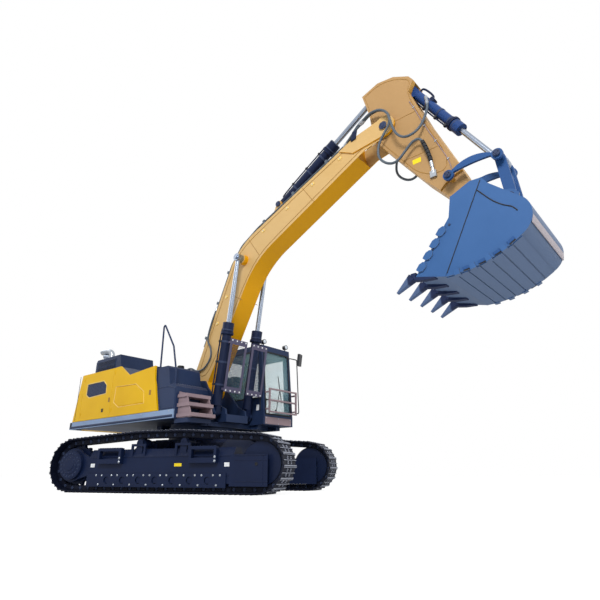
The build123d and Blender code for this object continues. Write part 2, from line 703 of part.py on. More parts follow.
def make_cowl():
    """Raised cowl over the right of the engine bay, with a sloped front edge."""
    low = PANEL_TOP - PANEL_GAP + SEAT
    outline = [(COWL_REAR, low), (COWL_FRONT + COWL_SLOPE, low), (COWL_FRONT, COWL_TOP),
               (COWL_REAR + 60, COWL_TOP), (COWL_REAR, COWL_TOP - 60)]
    with BuildPart() as cowl:
        slab(outline, (COWL_OUT, COWL_IN))
        inner = [(COWL_REAR + SHELL, low - 5), (COWL_FRONT + COWL_SLOPE - SHELL, low - 5),
                 (COWL_FRONT - SHELL, COWL_TOP - SHELL), (COWL_REAR + SHELL, COWL_TOP - SHELL)]
        slab(inner, (COWL_OUT + SHELL, COWL_IN - SHELL), Mode.SUBTRACT)
        with Locations((EXHAUST[0], EXHAUST[1], COWL_TOP)):
            Cylinder(EXHAUST_RADIUS + 10, 200, mode=Mode.SUBTRACT)
    return cowl


def make_hood():
    """Engine hood over the middle and left of the engine bay, hinged at its rear edge."""
    low = PANEL_TOP - PANEL_GAP + SEAT
    outline = [(HOOD_REAR, low), (HOOD_FRONT, low), (HOOD_FRONT - 60, HOOD_TOP - 40),
               (HOOD_FRONT - 200, HOOD_TOP), (HOOD_REAR + 60, HOOD_TOP), (HOOD_REAR, HOOD_TOP - 60)]
    inner = [(HOOD_REAR + SHELL, low - 5), (HOOD_FRONT - SHELL, low - 5), (HOOD_FRONT - 110, HOOD_TOP - SHELL - 30),
             (HOOD_REAR + SHELL, HOOD_TOP - SHELL - 30)]
    with BuildPart() as hood:
        slab(outline, (COWL_IN + PANEL_GAP, HOOD_LEFT))
        slab(inner, (COWL_IN + PANEL_GAP + SHELL, HOOD_LEFT - SHELL), Mode.SUBTRACT)
    return hood


def make_engine():
    """Engine, pump and cooler as plain blocks on their mounts in the engine bay."""
    low = DECK_TOP + SEAT
    with BuildPart() as engine:
        block((-2720, -1860), (-820, 620), (low + 140, 2640))
        block((-2600, -2000), (-1250, -800), (low + 260, 2250))
        for x in (-2640, -1980):
            for y in (-700, 500):
                block((x, x + 60), (y, y + 60), (low, low + 150))
        block((-2900, -1700), (780, 1300), (low, 2680))
    return engine


def make_exhaust():
    """Exhaust stack out of the cowl, ending in an elbow."""
    x, y = EXHAUST
    with BuildPart() as exhaust:
        tube([(x, y, COWL_TOP - 260), (x, y, EXHAUST_TOP - 90), (x - 250, y - 60, EXHAUST_TOP - 40)],
             EXHAUST_RADIUS - 10, 130)
        with Locations((x, y, COWL_TOP + 12)):
            Cylinder(EXHAUST_RADIUS + 34, 24 - 2 * SEAT)
    return exhaust


STEPS = [(TANK_FRONT + PANEL_GAP, 1180, 1930), (TANK_FRONT + PANEL_GAP, 1280, 1740), (TANK_FRONT + PANEL_GAP, 1360, 1530)]
STEP_THICKNESS = 70
STEP_RIGHT = -1420
STEP_LEFT = -780


def make_front_steps():
    """Three deep step plates in front of the tank, between two cheek plates."""
    with BuildPart() as steps:
        for rear, front, top in STEPS:
            block((rear, front), (STEP_RIGHT, STEP_LEFT), (top - STEP_THICKNESS, top))
        cheek = [(TANK_FRONT + PANEL_GAP, RING_TOP + SEAT), (1330, RING_TOP + SEAT), (1300, 1560), (1150, 1930),
                 (TANK_FRONT + PANEL_GAP, 1990)]
        slab(cheek, (STEP_RIGHT + 30, STEP_RIGHT + 50))
        slab(cheek, (STEP_LEFT - 50, STEP_LEFT - 30))
    return steps


def make_tank():
    """Fuel tank ahead of the right door: low box with a raised rear part along the housing's sloped front."""
    low = DECK_TOP + SEAT
    rear = RIGHT_FRONT_LOW + PANEL_GAP
    rear_top = RIGHT_FRONT_TOP + PANEL_GAP + 40
    outline = [(rear, low), (TANK_FRONT, low), (TANK_FRONT, TANK_TOP - 70), (TANK_FRONT - 70, TANK_TOP),
               (640, TANK_TOP), (560, TANK_HEAD - 40), (520, TANK_HEAD), (rear_top, TANK_HEAD)]
    with BuildPart() as tank:
        slab(outline, (-HOUSE_HALF + SKIRT_THICKNESS + 5, -LANE_OUT - 40))
        with Locations((330, -1000, TANK_HEAD)):
            Cylinder(70, 90)
    return tank


def make_handrail():
    """Tall bent grab rail beside the right-hand steps."""
    with BuildPart() as rail:
        tube([(200, -1440, TANK_HEAD + SEAT), (190, -1440, 3540), (240, -1440, 3540), (610, -1430, 3000),
              (770, -1420, 2400), (770, -1420, TANK_TOP + SEAT)], RAIL_RADIUS, 45)
    return rail


def make_valve():
    """Control valve between the main plates and the cab, with its pipe stubs."""
    with BuildPart() as valve:
        block((-850, -270), (-200, 200), (DECK_TOP + SEAT, 1940))
        for x in spaced(-790, -330, 5):
            for y in (-120, 0, 120):
                with Locations((x, y, 1970)):
                    Cylinder(26, 80)
    return valve


# Cab
def cab_face(z):
    """Place of the raked cab front at a height."""
    return CAB_FRONT - CAB_RAKE * max(0, z - CAB_SILL) / (CAB_TOP - CAB_SILL)


def cab_profile(inset, low, top):
    """Side-view outline of the cab with its raked front, drawn in by an inset."""
    points = [(CAB_REAR + inset, low), (cab_face(low) - inset, low)]
    if low < CAB_SILL:
        points.append((CAB_FRONT - inset, CAB_SILL))
    return points + [(cab_face(top) - inset, top), (CAB_REAR + inset, top)]


WAIST = 2060
HEAD = CAB_TOP - CAB_ROOF - 40


def make_cab_frame():
    """Hollow cab shell with its sill, posts and roof, and its window and door openings."""
    wall = CAB_WALL
    with BuildPart() as cab:
        slab(cab_profile(0, CAB_LOW, CAB_TOP), (CAB_RIGHT, CAB_LEFT))
        slab(cab_profile(wall, CAB_SILL, CAB_TOP - CAB_ROOF), (CAB_RIGHT + wall, CAB_LEFT - wall), Mode.SUBTRACT)
        y_wind = (CAB_RIGHT + wall + 20, CAB_LEFT - wall - 20)
        block((CAB_FRONT - 320, CAB_FRONT + 50), y_wind, (CAB_SILL + 40, HEAD), Mode.SUBTRACT)
        block((CAB_REAR - 50, CAB_REAR + 100), y_wind, (WAIST + 100, HEAD), Mode.SUBTRACT)
        right = [(CAB_REAR + 130, WAIST), (CAB_FRONT - 140, WAIST), (CAB_FRONT - 140 - 90, HEAD), (CAB_REAR + 130, HEAD)]
        slab(right, (CAB_RIGHT - 10, CAB_RIGHT + wall + 10), Mode.SUBTRACT)
        rear_light = [(CAB_REAR + 130, WAIST), (CAB_DOOR_REAR - CAB_POST, WAIST),
                      (CAB_DOOR_REAR - CAB_POST, HEAD), (CAB_REAR + 130, HEAD)]
        slab(rear_light, (CAB_LEFT - wall - 10, CAB_LEFT + 10), Mode.SUBTRACT)
        slab(door_shape(-PANEL_GAP), (CAB_LEFT - wall - 10, CAB_LEFT + 10), Mode.SUBTRACT)
        for z in CAB_HINGES:
            for low in (z - KNUCKLE - SEAT, z + KNUCKLE + SEAT):
                knuckle(low, low + KNUCKLE, -1)
    return cab


def knuckle(low, high, side):
    """Half of a door hinge: its barrel on the hinge line and its leaf, to the front (1) or rear (-1)."""
    with Locations((CAB_DOOR_REAR, CAB_LEFT + HINGE_OUT, (low + high) / 2)):
        Cylinder(KNUCKLE_RADIUS, high - low)
    leaf = sorted((CAB_DOOR_REAR + side * PANEL_GAP, CAB_DOOR_REAR + side * 3 * KNUCKLE_RADIUS))
    block(leaf, (CAB_LEFT, CAB_LEFT + HINGE_OUT), (low, high))


def door_shape(inset):
    """Side-view outline of the cab door, drawn in by an inset."""
    low = CAB_SILL + 30 + inset
    top = HEAD + 10 - inset
    lean = CAB_RAKE * (top - low) / (CAB_TOP - CAB_SILL)
    return [(CAB_DOOR_REAR + inset, low), (CAB_DOOR_FRONT + 60 - inset, low),
            (CAB_DOOR_FRONT + 60 - lean - inset, top), (CAB_DOOR_REAR + inset, top)]


def make_cab_door():
    """Left-hand cab door with its window opening."""
    with BuildPart() as door:
        slab(door_shape(0), (CAB_LEFT - CAB_DOOR_THICKNESS, CAB_LEFT))
        low, high = WAIST - 250, HEAD - 60
        window = [(CAB_DOOR_REAR + 70, low), (CAB_DOOR_FRONT - 10, low), (CAB_DOOR_FRONT - 90, high),
                  (CAB_DOOR_REAR + 70, high)]
        slab(window, (CAB_LEFT - CAB_DOOR_THICKNESS - 5, CAB_LEFT + 5), Mode.SUBTRACT)
        for z in CAB_HINGES:
            knuckle(z, z + KNUCKLE, 1)
    return door


def make_cab_glass():
    """Fixed panes: windscreen, rear pane, right side and left rear light."""
    edge = SEAT
    y_wind = (CAB_RIGHT + CAB_WALL + 20 + edge, CAB_LEFT - CAB_WALL - 20 - edge)
    low, high = CAB_SILL + 40 + edge, HEAD - edge
    lean = CAB_RAKE / (CAB_TOP - CAB_SILL)
    x_low = CAB_FRONT - 25 - lean * (low - CAB_SILL)
    x_high = CAB_FRONT - 25 - lean * (high - CAB_SILL)
    with BuildPart() as glass:
        slab([(x_low - GLASS, low), (x_low, low), (x_high, high), (x_high - GLASS, high)], y_wind)
        block((CAB_REAR + 20, CAB_REAR + 20 + GLASS), y_wind, (WAIST + 100 + edge, HEAD - edge))
        right = [(CAB_REAR + 130 + edge, WAIST + edge), (CAB_FRONT - 140 - edge, WAIST + edge),
                 (CAB_FRONT - 230 - edge, HEAD - edge), (CAB_REAR + 130 + edge, HEAD - edge)]
        slab(right, (CAB_RIGHT + 20, CAB_RIGHT + 20 + GLASS))
        light = [(CAB_REAR + 130 + edge, WAIST + edge), (CAB_DOOR_REAR - CAB_POST - edge, WAIST + edge),
                 (CAB_DOOR_REAR - CAB_POST - edge, HEAD - edge), (CAB_REAR + 130 + edge, HEAD - edge)]
        slab(light, (CAB_LEFT - 20 - GLASS, CAB_LEFT - 20))
    return glass


def make_door_glass():
    """Pane of the cab door."""
    low, high = WAIST - 250 + SEAT, HEAD - 60 - SEAT
    with BuildPart() as glass:
        slab([(CAB_DOOR_REAR + 70 + SEAT, low), (CAB_DOOR_FRONT - 10 - SEAT, low),
              (CAB_DOOR_FRONT - 90 - SEAT, high), (CAB_DOOR_REAR + 70 + SEAT, high)],
             (CAB_LEFT - 20 - GLASS, CAB_LEFT - 20))
    return glass


def make_seat():
    """Operator's seat on its pedestal."""
    mid = (CAB_RIGHT + CAB_LEFT) / 2
    floor = CAB_SILL + SEAT
    with BuildPart() as seat:
        block((60, 460), (mid - 180, mid + 180), (floor, floor + 260))
        block((0, 540), (mid - 250, mid + 250), (floor + 255, floor + 400))
        slab([(-60, floor + 390), (70, floor + 390), (-20, floor + 1100), (-130, floor + 1080)], (mid - 240, mid + 240))
    return seat


def make_console():
    """Arm consoles with their levers, and the two travel pedals."""
    mid = (CAB_RIGHT + CAB_LEFT) / 2
    floor = CAB_SILL + SEAT
    with BuildPart() as console:
        for side in (-1, 1):
            y = sorted((mid + side * 270, mid + side * 390))
            block((60, 620), y, (floor, floor + 560))
            with Locations((560, mid + side * 330, floor + 640)):
                Cylinder(26, 180)
            y_pedal = sorted((mid + side * 40, mid + side * 150))
            slab([(900, floor), (980, floor), (1090, floor + 90), (1060, floor + 110)], y_pedal)
            with Locations((1000, mid + side * 95, floor + 230)):
                Cylinder(14, 400)
    return console


GUARD_RAILS = (1725, 1990, 2245)


def make_cab_guard():
    """Tubular guard in front of the lower windscreen."""
    y0, y1 = CAB_RIGHT + 60, CAB_LEFT + 20
    x = CAB_FRONT + 105
    with BuildPart() as guard:
        for z in GUARD_RAILS:
            block((x - 18, x + 18), (y0, y1), (z - 18, z + 18))
        for y in (y0, y1 - 36):
            block((x - 18, x + 18), (y, y + 36), (GUARD_RAILS[0], GUARD_RAILS[-1]))
        for z in (1790, 2180):
            for y in (y0, y1 - 36):
                block((cab_face(z - 18) + SEAT, x), (y, y + 36), (z - 18, z + 18))
    return guard


def make_mirror():
    """Mirror and its long bowed rail at the cab's left front corner."""
    with BuildPart() as mirror:
        tube([(cab_face(3117) + SEAT, CAB_LEFT - 50, 3130), (1360, CAB_LEFT - 50, 3130), (1440, CAB_LEFT + 110, 3110),
              (1505, CAB_LEFT + 110, 1850), (1505, CAB_LEFT + 110, 1760), (1505, CAB_LEFT + 20 + SEAT, 1760)], 13, 38)
        with Locations(Location((1480, CAB_LEFT + 175, 3110), (0, 8, 20))):
            Box(60, 190, 300)
    return mirror


LAMPS = [(1230, CAB_RIGHT + 110), (1230, CAB_LEFT - 110)]


def make_lamps():
    """Work lamps on the front edge of the cab roof."""
    with BuildPart() as lamps:
        for x, y in LAMPS:
            with Locations((x, y, CAB_TOP + SEAT + 25)):
                Cylinder(14, 50)
            with Locations(Location((x, y, CAB_TOP + 95), (0, 90, 0))):
                Cylinder(55, 90)
    return lamps


# Boom
def make_boom():
    """Welded box boom: foot, long straight root, knee and tapering reach to the forked tip."""
    with BuildPart() as boom:
        with BuildSketch(Plane.XZ.offset(-BOOM_HALF)) as outline:
            with BuildLine():
                Line((-30, 2330), BOOM_BACK_LOW)
                Line(BOOM_BACK_LOW, BOOM_KNEE_LOW)
                ThreePointArc(BOOM_KNEE_LOW, (1370, 5580), BOOM_KNEE_HIGH)
                Line(BOOM_KNEE_HIGH, BOOM_BACK_HIGH)
                Line(BOOM_BACK_HIGH, (5380, 7200))
                ThreePointArc((5380, 7200), (5690, 7010), (5500, 6750))
                Line((5500, 6750), (4990, 6660))
                Line((4990, 6660), (2480, 5400))
                ThreePointArc((2480, 5400), (1930, 5030), (1520, 4480))
                Line((1520, 4480), (390, 2400))
                ThreePointArc((390, 2400), (330, 2100), (-30, 2330))
            make_face()
        extrude(amount=2 * BOOM_HALF)
        disc(FOOT, 235, (-BOOM_FOOT_HALF, BOOM_FOOT_HALF))
        disc(FOOT, FOOT_PIN + PIN_FIT, (-BOOM_FOOT_HALF - 5, BOOM_FOOT_HALF + 5), Mode.SUBTRACT)
        disc(TIP, FORK_THROAT, (-FORK_IN, FORK_IN), Mode.SUBTRACT)
        for y in both((FORK_IN, FORK_OUT)):
            slab([(4350, 6900), (4700, 6700), (5400, 6760), (5440, 7190), (4750, 7060)], y)
            disc(TIP, TIP_BOSS, y)
        disc(TIP, TIP_PIN, (-FORK_OUT - 25, FORK_OUT + 25))
        for y in both((BOOM_HALF - 5, LIFT_BOSS_OUT)):
            disc(LIFT_EYE, LIFT_BOSS, y)
        for y in both((75, 115)):
            slab([(2180, 5985), (2360, 6400), (2540, 6400), (2760, 6240)], y)
            disc(ARM_CYL_BASE, 90, y)
        disc(ARM_CYL_BASE, ARM_PIN, (-135, 135))
    return boom


HOSE_RADIUS = 24
HOSE_LANES = [-205, -150, 150, 205]


# Stretches of the boom's back that carry clamps: start, end, and the clamps' distances from the start
CLAMP_RUNS = [(BOOM_BACK_LOW, BOOM_KNEE_LOW, (900, 1800, 2600)), (BOOM_KNEE_HIGH, BOOM_BACK_HIGH, (250, 1250, 2300))]
CLAMP_LENGTH = 70
CLAMP_HEIGHT = 108


def make_boom_hoses():
    """Steel lines along the back of the boom, in clamps that stand on it."""
    with BuildPart() as hoses:
        for y in HOSE_LANES:
            tube([(130, y, 3290), (1000, y, 5215), (1330, y, 5640), (1870, y, 5955), (4450, y, 7040)],
                 HOSE_RADIUS, 420)
        for start, end, places in CLAMP_RUNS:
            for place in places:
                for y in both((HOSE_LANES[2] - 40, HOSE_LANES[3] + 35)):
                    strip(start, end, (place, place + CLAMP_LENGTH), (SEAT, CLAMP_HEIGHT), y)
    return hoses


# Cylinders
def along(start, end, distance):
    """Side-view point a distance from start towards end."""
    share = distance / hypot(end[0] - start[0], end[1] - start[1])
    return (start[0] + (end[0] - start[0]) * share, start[1] + (end[1] - start[1]) * share)


def barrel_solid(base, eye, y, radius, length):
    """Closed barrel with its gland, from the neck to the gland's face."""
    round_bar(base, eye, y, (NECK, length), radius)
    round_bar(base, eye, y, (length - GLAND_LENGTH, length), radius + GLAND_EXTRA)


def cut_barrel(base, eye, y, radius, rod, length, pin, half):
    """Bore of the barrel and the holes for its rod and its base pin."""
    round_bar(base, eye, y, (NECK + BARREL_FLOOR, length - BARREL_END), radius - BARREL_WALL, Mode.SUBTRACT)
    round_bar(base, eye, y, (NECK + 80, length + 10), rod + ROD_FIT, Mode.SUBTRACT)
    disc(base, pin + PIN_FIT, (y - half - 5, y + half + 5), Mode.SUBTRACT)


def make_barrel(base, eye, places, radius, rod, length, pin, half):
    """Cylinder barrels at one or two places across the machine."""
    with BuildPart() as barrels:
        for y in places:
            bar(base, along(base, eye, NECK), 2 * (pin + 40), (y - half, y + half))
            barrel_solid(base, eye, y, radius, length)
            cut_barrel(base, eye, y, radius, rod, length, pin, half)
    return barrels


GUARD_SPAN = (450, 1620)
GUARD_SIDES = (80, 580)
GUARD_BAR = 60
GUARD_PLATE = 12


def make_boom_guards():
    """Framed screens carried in front of the boom cylinder barrels."""
    ahead = GUARD_AHEAD
    foot, eye = LIFT_FOOT, LIFT_EYE
    length = hypot(eye[0] - foot[0], eye[1] - foot[1])
    ux, uz = (eye[0] - foot[0]) / length, (eye[1] - foot[1]) / length

    def at(distance, out):
        return (foot[0] + ux * distance + uz * out, foot[1] + uz * distance - ux * out)

    low, high = GUARD_SPAN
    with BuildPart() as guards:
        for y in both(GUARD_SIDES):
            slab([at(low, ahead), at(high, ahead), at(high, ahead + GUARD_PLATE), at(low, ahead + GUARD_PLATE)], y)
            slab([at(low + 2 * GUARD_BAR, ahead - 5), at(high - 2 * GUARD_BAR, ahead - 5),
                  at(high - 2 * GUARD_BAR, ahead + 20), at(low + 2 * GUARD_BAR, ahead + 20)],
                 (y[0] + GUARD_BAR, y[1] - GUARD_BAR), Mode.SUBTRACT)
            mid = LIFT_Y if y[0] > 0 else -LIFT_Y
            for place in (low + 40, high - 90):
                slab([at(place, LIFT_BARREL + SEAT), at(place + 50, LIFT_BARREL + SEAT), at(place + 50, ahead + 5),
                      at(place, ahead + 5)], (mid - 20, mid + 20))
    return guards


def make_rod(base, eye, places, radius, rod, piston, half, stub):
    """Chromed rods with piston, rod eye and its capped pin."""
    reach = hypot(eye[0] - base[0], eye[1] - base[1])
    with BuildPart() as rods:
        for y in places:
            round_bar(base, eye, y, (piston, reach - 40), rod)
            round_bar(base, eye, y, (piston, piston + PISTON), radius - BARREL_WALL - PISTON_FIT)
            disc(eye, rod + 40, (y - half, y + half))
            if stub:
                side = 1 if y > 0 else -1
                cap = sorted((y - side * (half + 10), y + side * (half + 35)))
                disc(eye, rod - 8, cap)
    return rods


def make_arm():
    """Welded box arm with its rear bracket, the bucket cylinder's lugs and its slim tip."""
    outline = [(4960, 8060), (5350, 8190), (5720, 8130), (6060, 7930), (6150, 7790), (6030, 7560), (6300, 6780),
               (6850, 5410), (7063, 4764), (6821, 4632), (6140, 5470), (5640, 6160), (5190, 6800), (5110, 7500)]
    with BuildPart() as arm:
        slab(outline, (-ARM_HALF, ARM_HALF))
        disc(HINGE, HINGE_BOSS, (-ARM_HALF, ARM_HALF))
        disc(TIP, TIP_PIN + PIN_FIT, (-ARM_HALF - 5, ARM_HALF + 5), Mode.SUBTRACT)
        for y in both((ARM_TIP_HALF, ARM_HALF + 5)):
            disc((7000, 4640), 720, y, Mode.SUBTRACT)
        slab([(4800, 8300), (4800, 7800), (5180, 7780), (5330, 8060), (5260, 8300)], (-100, 100), Mode.SUBTRACT)
        bar(BUCKET_CYL_BASE, BUCKET_BARREL_PATH, 2 * (BUCKET_BARREL + 20), (-100, 100), Mode.SUBTRACT)
        bar(BUCKET_CYL_BASE, (6500, 7600), 2 * (BUCKET_BARREL + 20), (-100, 100), Mode.SUBTRACT)
        disc(HINGE, LINK_PIN + PIN_FIT, (-ARM_HALF - 5, ARM_HALF + 5), Mode.SUBTRACT)
        disc(BUCKET_CYL_BASE, ARM_PIN, (-110, 110))
        disc(LINK_A, LINK_PIN, (-400, 400))
    return arm


SIDE_LINK_SIDES = (330, 380)
SIDE_LINK_RISE = 100
SIDE_LINK_HALF = 65
LINK_EYE = 95


def side_link_arc(rise):
    """Arc over the side link's two pins, raised above the line between them."""
    middle = ((LINK_A[0] + LINK_B[0]) / 2, (LINK_A[1] + LINK_B[1]) / 2 + rise)
    ThreePointArc(LINK_A, middle, LINK_B)
    return middle


def make_side_links():
    """Pair of arched side links from the arm to the bucket cylinder's eye."""
    with BuildPart() as links:
        for y in both(SIDE_LINK_SIDES):
            with BuildSketch(Plane.XZ.offset(-y[1])) as arch:
                with BuildLine():
                    side_link_arc(SIDE_LINK_RISE + SIDE_LINK_HALF)
                    side_link_arc(SIDE_LINK_RISE - SIDE_LINK_HALF)
                make_face()
            extrude(amount=y[1] - y[0])
            for pin in (LINK_A, LINK_B):
                disc(pin, LINK_EYE, y)
            disc(LINK_A, LINK_PIN + PIN_FIT, (y[0] - 5, y[1] + 5), Mode.SUBTRACT)
        for y in both((90, SIDE_LINK_SIDES[1] + 20)):
            disc(LINK_B, LINK_PIN, y)
    return links


def make_link():
    """Connecting link between the side links and the bucket."""
    with BuildPart() as link:
        for y in both((175, 235)):
            bar(LINK_B, LINK_C, 170, y)
            disc(LINK_B, LINK_PIN + PIN_FIT, (y[0] - 5, y[1] + 5), Mode.SUBTRACT)
        middle = ((LINK_B[0] + LINK_C[0]) / 2 + 40, (LINK_B[1] + LINK_C[1]) / 2)
        block((middle[0] - 40, middle[0] + 0), (-180, 180), (middle[1] - 190, middle[1] + 150))
    return link


# Bucket
def bucket_outline(drop):
    """Side-view outline of the bucket, lip first, its crest lowered by a drop."""
    with BuildLine() as edge:
        Line(LIP, HEEL)
        ThreePointArc(HEEL, UNDERSIDE_MIDDLE, UNDERSIDE_END)
        ThreePointArc(UNDERSIDE_END, (7960, 3760), (7900, 4060))
        Line((7900, 4060), (7440 - drop / 2, 4500 - drop / 2))
        Line((7440 - drop / 2, 4500 - drop / 2), (7350, 4640 - drop))
        Line((7350, 4640 - drop), (7170, 4650 - drop / 2))
        Line((7170, 4650 - drop / 2), (6840, 4500))
        Line((6840, 4500), CHEEK_TOP)
        Line(CHEEK_TOP, LIP)
    return edge.line


WEAR_PLATES = 7
WEAR_PLATE = 16
WEAR_GROOVE = 0.008
SHROUD_SHARES = (0.12, 0.32, 0.52, 0.72)
SHROUD_LENGTH = 0.07
SHROUD_PROUD = 26
SHROUD_LAP = 70
CHEEK_PLATE = 8
LOBES = 4
LOBE_FIRST = 90
LOBE_PITCH = 210
LOBE_PLATE = 32
LOBE_OUTLINE = [(0, -20), (10, 45), (110, 45), (170, 10), (185, -40), (120, -85), (40, -70)]


def wrapper_strip(shares, depths, y):
    """Piece that follows the bucket's underside between two shares of it, from one depth to another."""
    with BuildLine(mode=Mode.PRIVATE):
        wrapper = ThreePointArc(HEEL, UNDERSIDE_MIDDLE, UNDERSIDE_END)
    corners = []
    for share, order in zip(shares, (1, -1)):
        point, ahead = wrapper @ share, wrapper % share
        corners += [(point.X + ahead.Y * depth, point.Y - ahead.X * depth) for depth in depths[::order]]
    slab(corners, y)


def make_bucket_armour():
    """Wear plates under the bucket, shrouds on its lower edges, cheek plates and edge lobes."""
    for i in range(WEAR_PLATES):
        wrapper_strip((i / WEAR_PLATES + WEAR_GROOVE, (i + 1) / WEAR_PLATES - WEAR_GROOVE), (-5, WEAR_PLATE),
                      (-BUCKET_HALF + SHROUD_PROUD, BUCKET_HALF - SHROUD_PROUD))
    ahead_x, ahead_z = (CHEEK_TOP[0] - LIP[0], CHEEK_TOP[1] - LIP[1])
    length = hypot(ahead_x, ahead_z)
    ahead_x, ahead_z = ahead_x / length, ahead_z / length
    for low, high in both((BUCKET_HALF - SHROUD_LAP, BUCKET_HALF + SHROUD_PROUD)):
        for share in SHROUD_SHARES:
            wrapper_strip((share, share + SHROUD_LENGTH), (-SHROUD_LAP, SHROUD_PROUD), (low, high))
    for y in both((BUCKET_HALF - 5, BUCKET_HALF + CHEEK_PLATE)):
        slab([LIP, HEEL, (7350, 4640), (6840, 4500), CHEEK_TOP], y)
    for y in both((BUCKET_HALF - BUCKET_SHELL, BUCKET_HALF + LOBE_PLATE)):
        for i in range(LOBES):
            start = LOBE_FIRST + i * LOBE_PITCH
            slab([(LIP[0] + ahead_x * (start + s) - ahead_z * out, LIP[1] + ahead_z * (start + s) + ahead_x * out)
                  for s, out in LOBE_OUTLINE], y)


def make_bucket():
    """Welded bucket shell, open at its mouth, with the ears that hold hinge and link."""
    inside = BUCKET_HALF - BUCKET_SHELL
    with BuildPart() as bucket:
        for low, high, drop in ((-BUCKET_HALF, -inside, 0), (inside, BUCKET_HALF, 0), (-inside, inside, CREST_DROP)):
            with BuildSketch(Plane.XZ.offset(-high)) as side:
                with BuildLine():
                    add(bucket_outline(drop))
                make_face()
            extrude(side.sketch, amount=high - low)
        with BuildSketch(Plane.XZ.offset(-inside)) as cavity:
            with BuildLine():
                add(bucket_outline(CREST_DROP))
            make_face()
            offset(amount=-BUCKET_SHELL)
            with BuildLine():
                Polyline((6150, 3350), (6600, 3230), (7300, 4000), (7000, 4535), (6850, 4480), (6700, 4600),
                         (6000, 3700), close=True)
            make_face()
        extrude(cavity.sketch, amount=2 * inside, mode=Mode.SUBTRACT)
        for y in both((EAR_IN, EAR_OUT)):
            slab([(6800, 4640), (6860, 4440), (7300, 4600), (7440, 4450), (7680, 4320), (7720, 4500), (7600, 4610),
                  (7350, 4670), (7050, 4790)], y)
            disc(HINGE, HINGE_BOSS, y)
            disc(LINK_C, 110, y)
        disc(HINGE, LINK_PIN, (-EAR_OUT - 25, EAR_OUT + 25))
        make_bucket_armour()
    return bucket


ADAPTER_HALF = 55
ADAPTER_OUTLINE = [(330, 0), (330, -16), (130, -50), (-20, -56), (-95, -40), (-95, 50), (-20, 70), (-5, 70),
                   (-5, 0)]
STRAP_OUTLINE = [(-20, 43), (-20, 70), (130, 80), (225, 60), (225, 43)]
TOOTH_BACK = -70
TOOTH_ROOT_SIZE = (136, 122)
TOOTH_TIP_SIZE = (56, 26)


def make_teeth():
    """Five pointed teeth, each on an adapter whose straps hold the lip from both sides."""
    length = hypot(HEEL[0] - LIP[0], HEEL[1] - LIP[1])
    back_x, back_z = (HEEL[0] - LIP[0]) / length, (HEEL[1] - LIP[1]) / length

    def at(back, up):
        return (LIP[0] + back_x * back - back_z * up, LIP[1] + back_z * back + back_x * up)

    inside = BUCKET_HALF - BUCKET_SHELL - PANEL_GAP
    root = at(TOOTH_BACK, 2)
    ahead = Vector(TOOTH_TIP[0] - root[0], 0, TOOTH_TIP[1] - root[1])
    with BuildPart() as teeth:
        for y in spaced(-TOOTH_SPAN / 2, TOOTH_SPAN / 2, TOOTH_COUNT):
            slab([at(back, up - SEAT if up <= 0 else up) for back, up in ADAPTER_OUTLINE],
                 (y - ADAPTER_HALF, y + ADAPTER_HALF))
            slab([at(back, up) for back, up in STRAP_OUTLINE],
                 (max(y - ADAPTER_HALF, -inside), min(y + ADAPTER_HALF, inside)))
            for (x, z), size in ((root, TOOTH_ROOT_SIZE), (TOOTH_TIP, TOOTH_TIP_SIZE)):
                with BuildSketch(Plane((x, y, z), x_dir=(0, 1, 0), z_dir=ahead)):
                    Rectangle(*size)
            loft(ruled=True)
    return teeth


